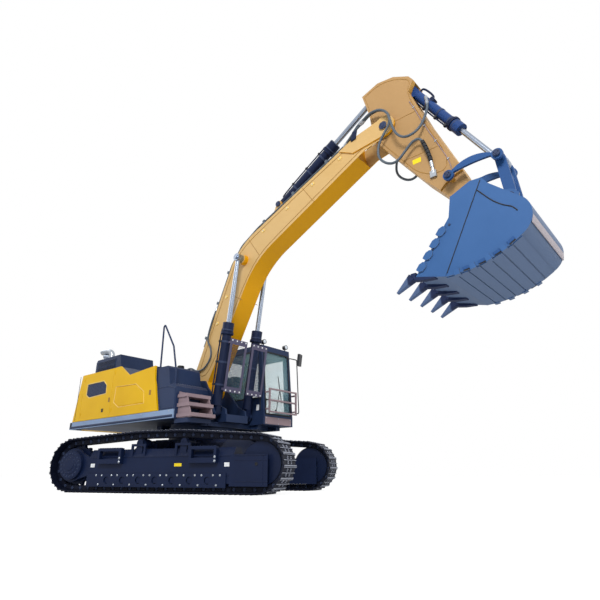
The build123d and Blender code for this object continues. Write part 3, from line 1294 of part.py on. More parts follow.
def make_all():
    """Make every sub-part and write its file."""
    os.makedirs("parts", exist_ok=True)
    for name, side in (("right", -1), ("left", 1)):
        save(make_track(side), f"track_{name}", UNDER)
        save(make_track_frame(side), f"track_frame_{name}", UNDER)
    save(make_idlers(), "idlers", UNDER)
    save(make_sprockets(), "drive_sprockets", UNDER)
    save(make_rollers(), "bottom_rollers", UNDER)
    save(make_carrier_rollers(), "carrier_rollers", UNDER)
    save(make_roller_guards(), "roller_guards", UNDER)
    save(make_frame_steps(), "frame_steps", UNDER)
    save(make_carbody(), "carbody", UNDER)
    save(make_slew_ring(), "slew_ring", UNDER)
    save(make_deck(), "main_deck")
    save(make_skirts(), "skirts")
    save(make_counterweight(), "counterweight")
    save(make_housing(), "housing")
    save(make_right_door("rear"), "right_rear_door")
    save(make_right_door("middle"), "right_middle_door")
    save(make_left_door(DECK_REAR, LEFT_SPLIT), "left_rear_door")
    save(make_left_door(LEFT_SPLIT, LEFT_FRONT), "left_front_door")
    save(make_cowl(), "cowl")
    save(make_hood(), "engine_hood")
    save(make_engine(), "engine")
    save(make_exhaust(), "exhaust")
    save(make_front_steps(), "front_steps")
    save(make_tank(), "fuel_tank")
    save(make_handrail(), "handrail")
    save(make_valve(), "control_valve")
    save(make_cab_frame(), "cab_frame")
    save(make_cab_glass(), "cab_glass")
    save(make_cab_door(), "cab_door")
    save(make_door_glass(), "cab_door_glass")
    save(make_seat(), "seat")
    save(make_console(), "console")
    save(make_cab_guard(), "cab_guard")
    save(make_mirror(), "mirror")
    save(make_lamps(), "roof_lamps")
    save(make_boom(), "boom")
    save(make_boom_hoses(), "boom_lines")
    lift = (LIFT_FOOT, LIFT_EYE, (-LIFT_Y, LIFT_Y), LIFT_BARREL, LIFT_ROD, LIFT_BARREL_LENGTH)
    save(make_barrel(*lift, LIFT_PIN, 60), "boom_barrels")
    save(make_rod(*lift[:-1], LIFT_PISTON, 75, True), "boom_rods")
    save(make_boom_guards(), "boom_guards")
    crowd = (ARM_CYL_BASE, ARM_EYE, (0,), ARM_BARREL, ARM_ROD, ARM_BARREL_LENGTH)
    save(make_barrel(*crowd, ARM_PIN, 69), "arm_barrel")
    save(make_rod(*crowd[:-1], ARM_PISTON, 90, False), "arm_rod")
    curl = (BUCKET_CYL_BASE, LINK_B, (0,), BUCKET_BARREL, BUCKET_ROD, BUCKET_BARREL_LENGTH)
    save(make_barrel(*curl, ARM_PIN, 90), "bucket_barrel")
    save(make_rod(*curl[:-1], BUCKET_PISTON, 70, False), "bucket_rod")
    save(make_arm(), "arm")
    save(make_side_links(), "side_links")
    save(make_link(), "bucket_link")
    save(make_bucket(), "bucket")
    save(make_teeth(), "bucket_teeth")


make_all()
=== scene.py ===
"""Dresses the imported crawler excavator: finishes, fittings, hoses, light, floor and camera, all in metres."""
import json
import logging
from dataclasses import dataclass, field
from enum import Enum
from math import cos, hypot, pi, radians, sin
from typing import Any, Optional, Sequence

import bpy
import numpy as np
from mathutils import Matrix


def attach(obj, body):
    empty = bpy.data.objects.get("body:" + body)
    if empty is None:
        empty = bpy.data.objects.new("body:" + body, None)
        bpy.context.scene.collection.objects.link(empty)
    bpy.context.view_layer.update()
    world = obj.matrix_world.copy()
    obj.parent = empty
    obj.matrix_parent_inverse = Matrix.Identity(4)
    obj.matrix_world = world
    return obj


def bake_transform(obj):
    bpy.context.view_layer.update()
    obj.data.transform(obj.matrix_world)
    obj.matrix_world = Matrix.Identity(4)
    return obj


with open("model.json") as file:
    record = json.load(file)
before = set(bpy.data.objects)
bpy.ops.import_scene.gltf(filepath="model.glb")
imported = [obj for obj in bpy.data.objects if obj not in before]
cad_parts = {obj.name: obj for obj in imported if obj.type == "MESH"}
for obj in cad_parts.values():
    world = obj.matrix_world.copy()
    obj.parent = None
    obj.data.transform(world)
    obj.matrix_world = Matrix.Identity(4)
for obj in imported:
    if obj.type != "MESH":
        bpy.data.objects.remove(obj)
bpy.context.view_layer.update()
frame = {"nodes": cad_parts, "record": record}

LOG = logging.getLogger("excavator")

Point = tuple[float, float, float]
Colour = tuple[float, float, float]
Flat = tuple[float, float]
Outline = tuple[Flat, ...]

# The house's own origin, the swing axis on the ground, lies behind the middle of the whole machine
SWING_X = -2.145
SWING_ANGLE = radians(19.25)
TRACK_GAUGE = 2.740
TRACK_REACH = 2.245
AXLE_Z = 0.555
HOUSE_HALF = 1.500

# Edges sharper than this are left unsmoothed
SHARP_ANGLE = radians(34.0)

# The way across to each side of the machine, with the side's name
SIDES = ((-1.0, "right"), (1.0, "left"))


def srgb(red: int, green: int, blue: int) -> Colour:
    """Linear colour of an sRGB colour given in 0 to 255.

    Args:
        red, green, blue: the colour as it should look in plain light.

    Returns:
        The same colour in linear light.
    """
    shares = (np.array([red, green, blue]) / 255.0) ** 2.2
    return tuple(float(share) for share in shares)


# Shader values and node trees
class Value:
    """A number in a node tree. Arithmetic on it adds Math nodes."""

    def __init__(self, tree: "Tree", socket: bpy.types.NodeSocket) -> None:
        """Keeps the tree and the socket that gives the number."""
        self.tree = tree
        self.socket = socket

    def maths(self, operation: str, *others: Any) -> "Value":
        """Result of a Math node on this value and others."""
        return self.tree.node("ShaderNodeMath", {"operation": operation}, self, *others)

    def __add__(self, other: Any) -> "Value":
        """Sum."""
        return self.maths("ADD", other)

    def __radd__(self, other: Any) -> "Value":
        """Sum with a number on the left."""
        return self.maths("ADD", other)

    def __sub__(self, other: Any) -> "Value":
        """Difference."""
        return self.maths("SUBTRACT", other)

    def __rsub__(self, other: Any) -> "Value":
        """Number less this value."""
        return self.tree.node("ShaderNodeMath", {"operation": "SUBTRACT"}, other, self)

    def __mul__(self, other: Any) -> "Value":
        """Product."""
        return self.maths("MULTIPLY", other)

    def __rmul__(self, other: Any) -> "Value":
        """Product with a number on the left."""
        return self.maths("MULTIPLY", other)

    def above(self, low: float, high: float) -> "Value":
        """0 under low, 1 over high, and a smooth step between."""
        settings = {"interpolation_type": "SMOOTHSTEP"}
        return self.tree.node("ShaderNodeMapRange", settings, self, low, high)


class Tree:
    """Node tree of one material or world, with one method that adds any node."""

    def __init__(self, owner: bpy.types.ID) -> None:
        """Empties the node tree of a new material or world.

        Args:
            owner: the material or world.
        """
        self.owner = owner
        owner.use_nodes = True
        self.nodes = owner.node_tree.nodes
        self.links = owner.node_tree.links
        self.nodes.clear()

    def node(self, kind: str, settings: dict[str, Any], *values: Any, out: int | str = 0,
             **named: Any) -> Optional[Value]:
        """Adds a node, sets its settings first and then its sockets.

        Args:
            kind: the node's type.
            settings: its properties.
            values: values or links of its first sockets, None to skip one.
            out: which output is given back, by its place or its name.
            named: values or links of sockets by name, with _ for a space.

        Returns:
            The chosen output, or None for a node that has none.
        """
        made = self.nodes.new(kind)
        for key, setting in settings.items():
            setattr(made, key, setting)
        for place, value in enumerate(values):
            if value is not None:
                self.feed(made.inputs[place], value)
        for key, value in named.items():
            self.feed(made.inputs[key.replace("_", " ")], value)
        return Value(self, made.outputs[out]) if made.outputs else None

    def feed(self, socket: bpy.types.NodeSocket, value: Any) -> None:
        """Links a value to a socket, or sets the socket to a plain one.

        Args:
            socket: the input.
            value: another node's value, a colour or a number.
        """
        if isinstance(value, Value):
            self.links.new(value.socket, socket)
        elif isinstance(value, (tuple, list)) and socket.type == "RGBA":
            socket.default_value = (*value[:3], 1.0)
        else:
            socket.default_value = value

    def place(self) -> Value:
        """Object coordinates."""
        return self.node("ShaderNodeTexCoord", {}, out=3)

    def noise(self, scale: float, detail: float = 3.0, where: Optional[Value] = None) -> Value:
        """Soft noise from 0 to 1.

        Args:
            scale: how fine it is.
            detail: how many finer octaves are added.
            where: its coordinates, Object coordinates when left out.

        Returns:
            The noise.
        """
        where = where or self.place()
        return self.node("ShaderNodeTexNoise", {}, Vector=where, Scale=scale, Detail=detail, Roughness=0.55)

    def stretched(self, x: float, y: float, z: float) -> Value:
        """Object coordinates scaled along each axis."""
        return self.node("ShaderNodeMapping", {}, Vector=self.place(), Scale=(x, y, z))

    def blend(self, share: Any, first: Any, second: Any) -> Value:
        """Colour between two colours.

        Args:
            share: how much of the second colour, from 0 to 1.
            first, second: the colours.

        Returns:
            The mixed colour.
        """
        made = self.nodes.new("ShaderNodeMix")
        made.data_type = "RGBA"
        for key, value in (("Factor_Float", share), ("A_Color", first), ("B_Color", second)):
            self.feed(next(s for s in made.inputs if s.identifier == key), value)
        return Value(self, next(s for s in made.outputs if s.identifier == "Result_Color"))

    def facing_up(self) -> Value:
        """1 on surfaces that face up, 0 on the others, by the upright part of the normal."""
        normal = self.node("ShaderNodeNewGeometry", {}, out=1)
        return self.node("ShaderNodeSeparateXYZ", {}, normal, out=2).above(0.35, 0.95)

    def facing_side(self) -> Value:
        """1 on surfaces square to the machine's side, 0 on the others.

        Returns:
            The square of the normal's part across, stepped smoothly.
        """
        normal = self.node("ShaderNodeNewGeometry", {}, out=1)
        across = self.node("ShaderNodeSeparateXYZ", {}, normal, out=1)
        return (across * across).above(0.55, 0.95)

    def bump(self, height: Value, distance: float, strength: float = 1.0) -> Value:
        """Normal of a surface raised by a height."""
        return self.node("ShaderNodeBump", {}, Height=height, Distance=distance, Strength=strength)

    def finish(self, **sockets: Any) -> bpy.types.Material:
        """Closes the tree with a Principled shader.

        Args:
            sockets: the shader's inputs by name, with _ for a space.

        Returns:
            The material.
        """
        shader = self.node("ShaderNodeBsdfPrincipled", {}, **sockets)
        self.node("ShaderNodeOutputMaterial", {}, shader)
        return self.owner


def new_tree(name: str) -> Tree:
    """Empty tree of a new material."""
    return Tree(bpy.data.materials.new(name))


def darker(colour: Colour, share: float) -> Colour:
    """Colour times a share, or paler where the share is over 1."""
    return tuple(share * part for part in colour)


# Finishes
@dataclass(frozen=True)
class Paint:
    """Sprayed enamel with faint mottling, dust on ledges and a fine orange peel; where given, faces that don't
    look to the side take a second colour that is painted light.
    """

    name: str
    colour: Colour
    shade: Colour
    roughness: float = 0.42
    coat: float = 0.06
    dust: float = 0.10
    dust_colour: Colour = srgb(196, 188, 172)
    # Painted light: the colour of faces that don't look to the side, so the paint looks lit differently by face
    # direction
    painted_light_off_side: Optional[Colour] = None

    def make(self) -> bpy.types.Material:
        """Mixes the paint's shader.

        Returns:
            Its material.
        """
        tree = new_tree(self.name)
        cloud = tree.noise(1.3, 4.0)
        grain = tree.noise(38.0, 5.0)
        base = tree.blend(cloud.above(0.35, 0.75) * 0.55, self.colour, self.shade)
        # Painted light: faces that don't look to the side take the other colour instead of the paint's
        if self.painted_light_off_side is not None:
            base = tree.blend(tree.facing_side(), self.painted_light_off_side, base)
        dusty = tree.facing_up() * grain.above(0.4, 0.8) * self.dust
        base = tree.blend(dusty, base, self.dust_colour)
        rough = self.roughness + cloud * 0.10 + dusty * 0.4
        peel = tree.noise(260.0, 1.0)
        return tree.finish(Base_Color=base, Roughness=rough, Metallic=0.0, Coat_Weight=self.coat,
                           Coat_Roughness=0.12, Specular_IOR_Level=0.18, Normal=tree.bump(peel, 0.0004, 0.35))


@dataclass(frozen=True)
class WornSteel:
    """Bare or thinly painted steel with bright rubbed patches and dark pits."""

    name: str
    colour: Colour
    bright: Colour
    wear: float = 0.5
    roughness: float = 0.48
    tip: Optional[tuple[Colour, float]] = None

    def make(self) -> bpy.types.Material:
        """Mixes the steel's shader, rubbed bright where two noises together are high.

        Returns:
            Its material.
        """
        tree = new_tree(self.name)
        cloud = tree.noise(3.0, 5.0)
        grain = tree.noise(60.0, 6.0)
        streak = tree.noise(22.0, 3.0, tree.stretched(1.0, 1.0, 0.2))
        worn = (cloud * 0.6 + grain * 0.4).above(0.66 - 0.3 * self.wear, 0.9 - 0.25 * self.wear) * self.wear
        paint = self.colour
        if self.tip is not None:
            colour, border = self.tip
            across = tree.node("ShaderNodeSeparateXYZ", {}, tree.place(), out=0)
            paint = tree.blend((border - across) * 40.0, self.colour, colour)
        base = tree.blend(worn, paint, self.bright)
        base = tree.blend(streak.above(0.55, 0.85) * 0.3, base, darker(self.colour, 0.5))
        rough = self.roughness + grain * 0.22 - worn * 0.18
        return tree.finish(Base_Color=base, Roughness=rough, Metallic=worn * 0.8 + 0.1,
                           Specular_IOR_Level=0.25, Normal=tree.bump(grain, 0.0016, 0.5))


@dataclass(frozen=True)
class Bright:
    """Ground or plated metal with faint rings of machining and a little oil film."""

    name: str
    colour: Colour
    roughness: float = 0.14

    def make(self) -> bpy.types.Material:
        """Mixes the metal's shader.

        Returns:
            Its material.
        """
        tree = new_tree(self.name)
        film = tree.noise(5.0, 4.0)
        grain = tree.noise(140.0, 3.0)
        base = tree.blend(film.above(0.5, 0.8) * 0.08, self.colour, darker(self.colour, 0.7))
        return tree.finish(Base_Color=base, Metallic=1.0, Roughness=self.roughness + film * 0.10,
                           Normal=tree.bump(grain, 0.00005, 0.03))


@dataclass(frozen=True)
class Pane:
    """Tinted safety glass with a film of dust."""

    name: str
    colour: Colour
    alpha: float = 0.20

    def make(self) -> bpy.types.Material:
        """Mixes the glass's shader.

        Returns:
            Its material.
        """
        tree = new_tree(self.name)
        film = tree.noise(2.2, 4.0)
        alpha = self.alpha + film.above(0.3, 0.9) * 0.05
        material = tree.finish(Base_Color=self.colour, Roughness=0.03 + film * 0.05, Metallic=0.0,
                               Alpha=alpha, Coat_Weight=0.6)
        material.surface_render_method = "DITHERED"
        return material


@dataclass(frozen=True)
class Soft:
    """Rubber, moulded plastic or cloth: a dull base with its own grain."""

    name: str
    colour: Colour
    roughness: float = 0.75
    grain: float = 180.0
    depth: float = 0.0008

    def make(self) -> bpy.types.Material:
        """Mixes the soft or moulded surface's shader.

        Returns:
            Its material.
        """
        tree = new_tree(self.name)
        fine = tree.noise(self.grain, 3.0)
        cloud = tree.noise(4.0, 3.0)
        base = tree.blend(cloud.above(0.4, 0.8) * 0.5, self.colour, darker(self.colour, 1.5))
        return tree.finish(Base_Color=base, Roughness=self.roughness + fine * 0.15,
                           Normal=tree.bump(fine, self.depth, 0.6))


@dataclass(frozen=True)
class Finishes:
    """Every material of the machine, made once."""

    made: dict[str, bpy.types.Material] = field(default_factory=dict)

    def __getitem__(self, name: str) -> bpy.types.Material:
        """Material by its name, made when it is first asked for.

        Args:
            name: the finish's name.

        Returns:
            The material.
        """
        if name not in self.made:
            self.made[name] = next(kind for kind in PALETTE if kind.name == name).make()
        return self.made[name]


PALETTE = (
    Paint("yellow_paint", srgb(228, 178, 6), srgb(218, 166, 2), dust=0.6, dust_colour=srgb(228, 186, 118)),
    # Boom and arm: the tan on their side faces is a painted sky sheen on yellow paint, darker on the arm; the
    # golden colour of their other faces is the same paint, lit differently
    Paint("boom_paint", srgb(204, 168, 112), srgb(196, 158, 98), painted_light_off_side=srgb(226, 160, 10)),
    Paint("arm_paint", srgb(172, 136, 92), srgb(164, 128, 84), painted_light_off_side=srgb(196, 146, 66)),
    Paint("navy_paint", srgb(22, 34, 62), srgb(16, 26, 50), roughness=0.46, dust=0.12),
    Paint("blue_paint", srgb(46, 82, 134), srgb(38, 72, 120), roughness=0.46),
    Paint("ram_blue", srgb(28, 62, 116), srgb(22, 52, 102), roughness=0.4, coat=0.2, dust=0.06),
    # Bucket: the paler grey-blue on faces that don't look to the side is painted light on the same blue paint
    Paint("bucket_paint", srgb(60, 96, 146), srgb(50, 86, 134), roughness=0.48, painted_light_off_side=srgb(92, 110, 140)),
    Paint("skirt_paint", srgb(136, 158, 190), srgb(118, 140, 174), dust=0.2),
    Paint("slate_paint", srgb(40, 54, 84), srgb(30, 42, 68), roughness=0.45, dust=0.15),
    Paint("rose_steel", srgb(148, 128, 132), srgb(128, 112, 122), roughness=0.5, coat=0.03, dust=0.2),
    WornSteel("track_steel", srgb(16, 22, 40), srgb(150, 156, 174), wear=0.16),
    WornSteel("lip_steel", srgb(52, 62, 88), srgb(140, 148, 164), wear=0.35),
    WornSteel("rubbed_steel", srgb(150, 154, 168), srgb(216, 220, 226), wear=0.6, roughness=0.4),
    WornSteel("tooth_steel", srgb(30, 42, 74), srgb(96, 112, 144), wear=0.2, tip=(srgb(80, 98, 132), 3.865)),
    WornSteel("engine_grey", srgb(72, 76, 84), srgb(120, 124, 130), wear=0.2, roughness=0.55),
    Bright("chrome", srgb(152, 162, 178), roughness=0.22),
    Bright("fitting", srgb(170, 176, 184), roughness=0.32),
    Pane("glass", srgb(158, 204, 212)),
    Soft("hose", srgb(72, 82, 92), roughness=0.5, grain=240.0),
    Soft("seat_cloth", srgb(46, 46, 50), roughness=0.9, grain=420.0, depth=0.0006),
    Soft("cab_plastic", srgb(42, 44, 50), roughness=0.6),
    Soft("lamp", srgb(32, 34, 40), roughness=0.35, grain=90.0, depth=0.0003),
    Soft("mirror_shell", srgb(30, 32, 38), roughness=0.4, grain=90.0, depth=0.0003),
    # Pale yellow: painted highlight on the door rims and the boom's pads
    Paint("pale_edge", srgb(238, 204, 120), srgb(232, 196, 108), coat=0.1),
    # Dark brown: painted shade in the grooves on the weld beads, and the plain tone of the door latches
    Paint("yellow_shade", srgb(158, 118, 60), srgb(146, 106, 50), roughness=0.5),
    Paint("guard_grey", srgb(88, 84, 106), srgb(76, 74, 96), roughness=0.5, dust=0.15),
    Paint("crest_grey", srgb(176, 166, 170), srgb(160, 152, 160), roughness=0.5, coat=0.05),
    Soft("lens", srgb(204, 212, 220), roughness=0.12, grain=40.0, depth=0.0002),
    Soft("seal", srgb(20, 22, 28), roughness=0.65),
    Soft("blank_white", srgb(226, 228, 230), roughness=0.4, grain=60.0, depth=0.0001),
    Soft("blank_yellow", srgb(238, 206, 20), roughness=0.4, grain=60.0, depth=0.0001),
)
FINISH = Finishes()

# Nodes whose finish is a closer match than their slot's plain one. The boom's and the arm's are yellow paint
# with a painted sky sheen on their side faces, darker on the arm, and the boom's, arm's and bucket's change
# colour by face direction as painted light
NODE_FINISH = {"boom": "boom_paint", "arm": "arm_paint", "bucket": "bucket_paint",
               "bucket_teeth": "tooth_steel", "boom_guards": "guard_grey", "bucket_barrel": "ram_blue",
               "arm_barrel": "navy_paint"}


def add_object(name: str, data: Any) -> bpy.types.Object:
    """Puts an object into the scene.

    Args:
        name: its name.
        data: its mesh, lamp or camera.

    Returns:
        The object.
    """
    made = bpy.data.objects.new(name, data)
    bpy.context.scene.collection.objects.link(made)
    return made


# Studio
WHITE = (1.0, 1.0, 1.0)


@dataclass
class Studio:
    """Camera, lamps, world and floor."""

    eye: Point = (7.150, -7.485, 0.359)
    yaw: float = 0.707
    pitch: float = 0.345
    lens: float = 28.94
    sensor: float = 36.0
    shift: Flat = (0.0065, 0.0020)
    target: Point = (0.0, 0.0, 3.0)
    sky: Colour = (0.90, 0.95, 1.0)
    sky_strength: float = 0.46
    floor_half: float = 60.0
    floor_colour: Colour = (0.82, 0.82, 0.82)
    floor_glow: float = 1.42
    glow_share: float = 0.62

    def camera(self) -> None:
        """Camera at the photograph's place and angle."""
        lens = bpy.data.cameras.new("camera")
        lens.sensor_width = self.sensor
        lens.lens = self.lens
        lens.shift_x, lens.shift_y = self.shift
        camera = add_object("camera", lens)
        camera.location = self.eye
        camera.rotation_euler = (pi / 2 + self.pitch, 0.0, self.yaw)
        bpy.context.scene.camera = camera

    def lamp(self, name: str, size: float, power: float, place: Point) -> None:
        """Square area lamp aimed at the machine's middle.

        Args:
            name: the lamp's name.
            size: its width in metres.
            power: its power in watts.
            place: where it hangs.
        """
        light = bpy.data.lights.new(name, "AREA")
        light.size = size
        light.energy = power
        lamp = add_object(name, light)
        lamp.location = place
        aim = np.array(self.target) - np.array(place)
        yaw = np.arctan2(-aim[0], aim[1])
        lamp.rotation_euler = (pi / 2 + np.arctan2(aim[2], hypot(aim[0], aim[1])), 0.0, yaw)

    def world(self) -> None:
        """White to the camera, through glass and to gloss, a soft pale sky to everything else."""
        tree = Tree(bpy.data.worlds.new("world"))
        bpy.context.scene.world = tree.owner
        rays = [tree.node("ShaderNodeLightPath", {}, out=f"Is {kind} Ray")
                for kind in ("Camera", "Transmission", "Glossy")]
        seen = rays[0].maths("MAXIMUM", rays[1]).maths("MAXIMUM", rays[2])
        sky = tree.node("ShaderNodeBackground", {}, Color=self.sky, Strength=self.sky_strength)
        white = tree.node("ShaderNodeBackground", {}, Color=WHITE, Strength=1.0)
        mixed = tree.node("ShaderNodeMixShader", {}, seen, sky, white)
        tree.node("ShaderNodeOutputWorld", {}, mixed)

    def floor(self) -> None:
        """Pale floor that shows white and keeps the machine's shadow."""
        half = self.floor_half
        corners = [(-half, -half, 0.0), (half, -half, 0.0), (half, half, 0.0), (-half, half, 0.0)]
        mesh = bpy.data.meshes.new("floor")
        mesh.from_pydata(corners, [], [(0, 1, 2, 3)])
        floor = add_object("floor", mesh)
        tree = new_tree("floor")
        matt = tree.node("ShaderNodeBsdfDiffuse", {}, Color=self.floor_colour)
        glow = tree.node("ShaderNodeEmission", {}, Color=WHITE, Strength=self.floor_glow)
        seen = tree.node("ShaderNodeLightPath", {})
        lit = tree.node("ShaderNodeMixShader", {}, seen * self.glow_share, matt, glow)
        tree.node("ShaderNodeOutputMaterial", {}, lit)
        mesh.materials.append(tree.owner)

    def build(self) -> None:
        """Makes the whole studio."""
        bpy.context.scene.view_settings.view_transform = "Standard"
        self.camera()
        self.world()
        self.floor()
        self.lamp("key", 5.0, 2300.0, (9.0, -13.0, 13.0))
        self.lamp("fill", 12.0, 420.0, (15.0, 3.0, 6.0))
        self.lamp("back", 10.0, 700.0, (-13.0, -4.0, 12.0))


# Shapes as whole arrays
@dataclass(frozen=True)
class Shape:
    """Surface as arrays: its points, and its faces grouped by their number of corners."""

    points: np.ndarray
    faces: tuple[np.ndarray, ...]

    def moved(self, offset: Sequence[float]) -> "Shape":
        """The same surface shifted."""
        return Shape(self.points + np.asarray(offset, float), self.faces)

    def turned(self, axes: np.ndarray) -> "Shape":
        """Surface with its own u, v and w laid along the rows of axes."""
        return Shape(self.points @ np.asarray(axes, float), self.faces)

    def copied(self, places: Any, axes: Any = None) -> "Shape":
        """Copies at many places.

        Args:
            places: the places, as rows of x, y and z.
            axes: the u, v and w of all copies, or of each.

        Returns:
            One surface of all the copies.
        """
        spots = np.asarray(places, float).reshape(-1, 3)
        frames = np.eye(3) if axes is None else np.asarray(axes, float)
        frames = np.broadcast_to(frames, (len(spots), 3, 3))
        points = np.einsum("pi,nij->npj", self.points, frames) + spots[:, None, :]
        shift = np.arange(len(spots))[:, None, None] * len(self.points)
        faces = tuple((group[None] + shift).reshape(-1, group.shape[1]) for group in self.faces)
        return Shape(points.reshape(-1, 3), faces)

    def outward(self) -> "Shape":
        """Turns the faces to look out of what the surface encloses.

        Returns:
            The surface, with its faces reversed where its volume came out below zero.
        """
        volume = 0.0
        for group in self.faces:
            corners = self.points[group]
            for last in range(2, group.shape[1]):
                cross = np.cross(corners[:, last - 1], corners[:, last])
                volume += float(np.einsum("ij,ij->", corners[:, 0], cross))
        if volume >= 0.0:
            return self
        return Shape(self.points, tuple(group[:, ::-1] for group in self.faces))


def joined(*shapes: Shape) -> Shape:
    """Several surfaces as one.

    Args:
        shapes: the surfaces.

    Returns:
        One surface, the points of each after those of the one before.
    """
    starts = np.cumsum([0] + [len(shape.points) for shape in shapes[:-1]])
    faces = tuple(group + start for shape, start in zip(shapes, starts) for group in shape.faces)
    return Shape(np.vstack([shape.points for shape in shapes]), faces)


def rows_of(x: Any, y: Any, z: Any) -> np.ndarray:
    """Places as rows of x, y and z, with any single number repeated down its column."""
    return np.stack(np.broadcast_arrays(x, y, z), axis=-1).astype(float).reshape(-1, 3)


def at_y(flat: Any, y: float) -> np.ndarray:
    """One point or rows of them in x and z, set at a distance across."""
    return np.insert(np.asarray(flat, float), 1, y, axis=-1)


def unit(rows: Any) -> np.ndarray:
    """One vector or rows of them, each drawn to a length of 1."""
    return rows / np.linalg.norm(rows, axis=-1, keepdims=True)


def strips(rings_in: int, corners: int, around: bool = False) -> np.ndarray:
    """Four-cornered faces between each ring of a stack and the next.

    Args:
        rings_in: how many rings there are.
        corners: how many points each ring has.
        around: whether the last ring is joined to the first.

    Returns:
        The faces, as rows of four point numbers.
    """
    count = rings_in if around else rings_in - 1
    row = np.arange(count)[:, None] * corners
    after = (np.arange(count)[:, None] + 1) % rings_in * corners
    here = np.arange(corners)[None]
    there = (here + 1) % corners
    return np.stack([row + here, row + there, after + there, after + here], axis=2).reshape(-1, 4)


def rings(points: np.ndarray) -> Shape:
    """Skin over a stack of rings of equal length, with flat ends.

    Args:
        points: rings by corners by 3.

    Returns:
        The skin, facing out.
    """
    count, corners = points.shape[:2]
    first = np.arange(corners)
    ends = (first[::-1][None], (first + (count - 1) * corners)[None])
    return Shape(points.reshape(-1, 3), (strips(count, corners), *ends)).outward()


def drawn_in(outline: Any, inset: float) -> np.ndarray:
    """Closed flat outline with each edge moved inwards along its normal, and mitred corners.

    Args:
        outline: its corners in u and v.
        inset: how far in each edge moves, or out where it is negative.

    Returns:
        The new corners.
    """
    flat = np.asarray(outline, float)
    area = np.sum(flat[:, 0] * np.roll(flat[:, 1], -1) - np.roll(flat[:, 0], -1) * flat[:, 1])
    edge = unit(np.roll(flat, -1, axis=0) - flat)
    out = np.sign(area) * np.stack([edge[:, 1], -edge[:, 0]], axis=1)
    before = np.roll(out, 1, axis=0)
    lean = 1.0 + np.sum(out * before, axis=1, keepdims=True)
    return flat - inset * (out + before) / np.maximum(lean, 0.3)


def layers(outline: Any, steps: Sequence[Flat]) -> np.ndarray:
    """Rings of one outline, each drawn in by an inset and lifted to a level."""
    return np.stack([np.insert(drawn_in(outline, inset), 2, level, axis=1) for inset, level in steps])


def plate(outline: Any, depth: float, bevel: float = 0.004) -> Shape:
    """Plate of a flat outline with a bevelled rim.

    Args:
        outline: its corners in u and v.
        depth: its thickness, from w = 0 up.
        bevel: how far the rim is cut back at the top.

    Returns:
        The closed plate.
    """
    return rings(layers(outline, ((0.0, 0.0), (0.0, depth - bevel), (bevel, depth))))


def frame_bar(outline: Any, width: float, depth: float, bevel: float = 0.003) -> Shape:
    """Raised frame that follows an outline, with bevelled edges and no seam.

    Args:
        outline: the outer corners in u and v.
        width: the bar's width.
        depth: its height, from w = 0 up.
        bevel: the size of its two cut edges.

    Returns:
        The closed frame.
    """
    steps = ((0.0, 0.0), (0.0, depth - bevel), (bevel, depth), (width - bevel, depth),
             (width, depth - bevel), (width, 0.0))
    loops = layers(outline, steps)
    return Shape(loops.reshape(-1, 3), (strips(*loops.shape[:2], around=True),)).outward()


def rectangle(width: float, height: float, middle: Flat = (0.0, 0.0)) -> np.ndarray:
    """Corners of a rectangle in u and v."""
    half = np.array([width, height]) / 2.0
    return np.array(middle) + half * np.array([(-1, -1), (1, -1), (1, 1), (-1, 1)], float)


def block(width: float, height: float, depth: float, bevel: float = 0.004,
          middle: Flat = (0.0, 0.0)) -> Shape:
    """Rectangular plate with a bevelled rim."""
    return plate(rectangle(width, height, middle), depth, bevel)


def turn_angles(count: int) -> np.ndarray:
    """Angles of even steps round a whole turn."""
    return np.arange(count) * 2.0 * pi / count


def lathe(profile: Sequence[Flat], corners: int = 24) -> Shape:
    """Surface turned about w: a ring for each height, at its radius times the cosine and the sine.

    Args:
        profile: heights and radii.
        corners: corners of each ring.

    Returns:
        The closed surface.
    """
    heights, radii = np.array(profile, float).T[:, :, None]
    angle = turn_angles(corners)[None]
    return rings(np.stack(np.broadcast_arrays(radii * np.cos(angle), radii * np.sin(angle), heights), axis=2))


def bolt(radius: float, height: float) -> Shape:
    """Hexagon head on its washer.

    Args:
        radius: the head's, from its middle to a corner.
        height: how far the head stands up.

    Returns:
        The head and the washer.
    """
    washer = lathe([(0.0, 1.35 * radius), (0.2 * height, 1.35 * radius), (0.28 * height, 1.2 * radius)], 12)
    head = lathe([(0.2 * height, radius), (0.85 * height, radius), (height, 0.82 * radius)], 6)
    return joined(washer, head)


def rounded(path: Any, times: int = 3) -> np.ndarray:
    """Path with its corners cut again and again, each run keeping its middle half, and both ends kept.

    Args:
        path: its points.
        times: how often the corners are cut.

    Returns:
        The smoother path.
    """
    points = np.asarray(path, float)
    for _ in range(times):
        near, far = points[:-1], points[1:]
        cut = np.stack([0.75 * near + 0.25 * far, 0.25 * near + 0.75 * far], axis=1)
        points = np.vstack([points[:1], cut.reshape(-1, points.shape[1])[1:-1], points[-1:]])
    return points


def tube(path: Any, radius: float, corners: int = 10) -> Shape:
    """Round tube along a path, each ring square to the path there.

    Args:
        path: points along the middle.
        radius: the tube's radius.
        corners: corners of each ring.

    Returns:
        The closed tube.
    """
    points = np.asarray(path, float)
    ahead = unit(np.gradient(points, axis=0))
    spread = np.abs(points - points.mean(axis=0)).max(axis=0)
    level = np.eye(3)[int(np.argmin(spread + 1e-6 * np.arange(3)))]
    level = unit(level - ahead * (ahead @ level)[:, None])
    across = np.cross(ahead, level)
    angle = turn_angles(corners)[None, :, None]
    ring = level[:, None] * np.cos(angle) + across[:, None] * np.sin(angle)
    return rings(points[:, None] + radius * ring)


def reach_along(line: np.ndarray) -> np.ndarray:
    """Distance from the start of a line to each of its points."""
    return np.concatenate([[0.0], np.cumsum(np.linalg.norm(np.diff(line, axis=0), axis=1))])


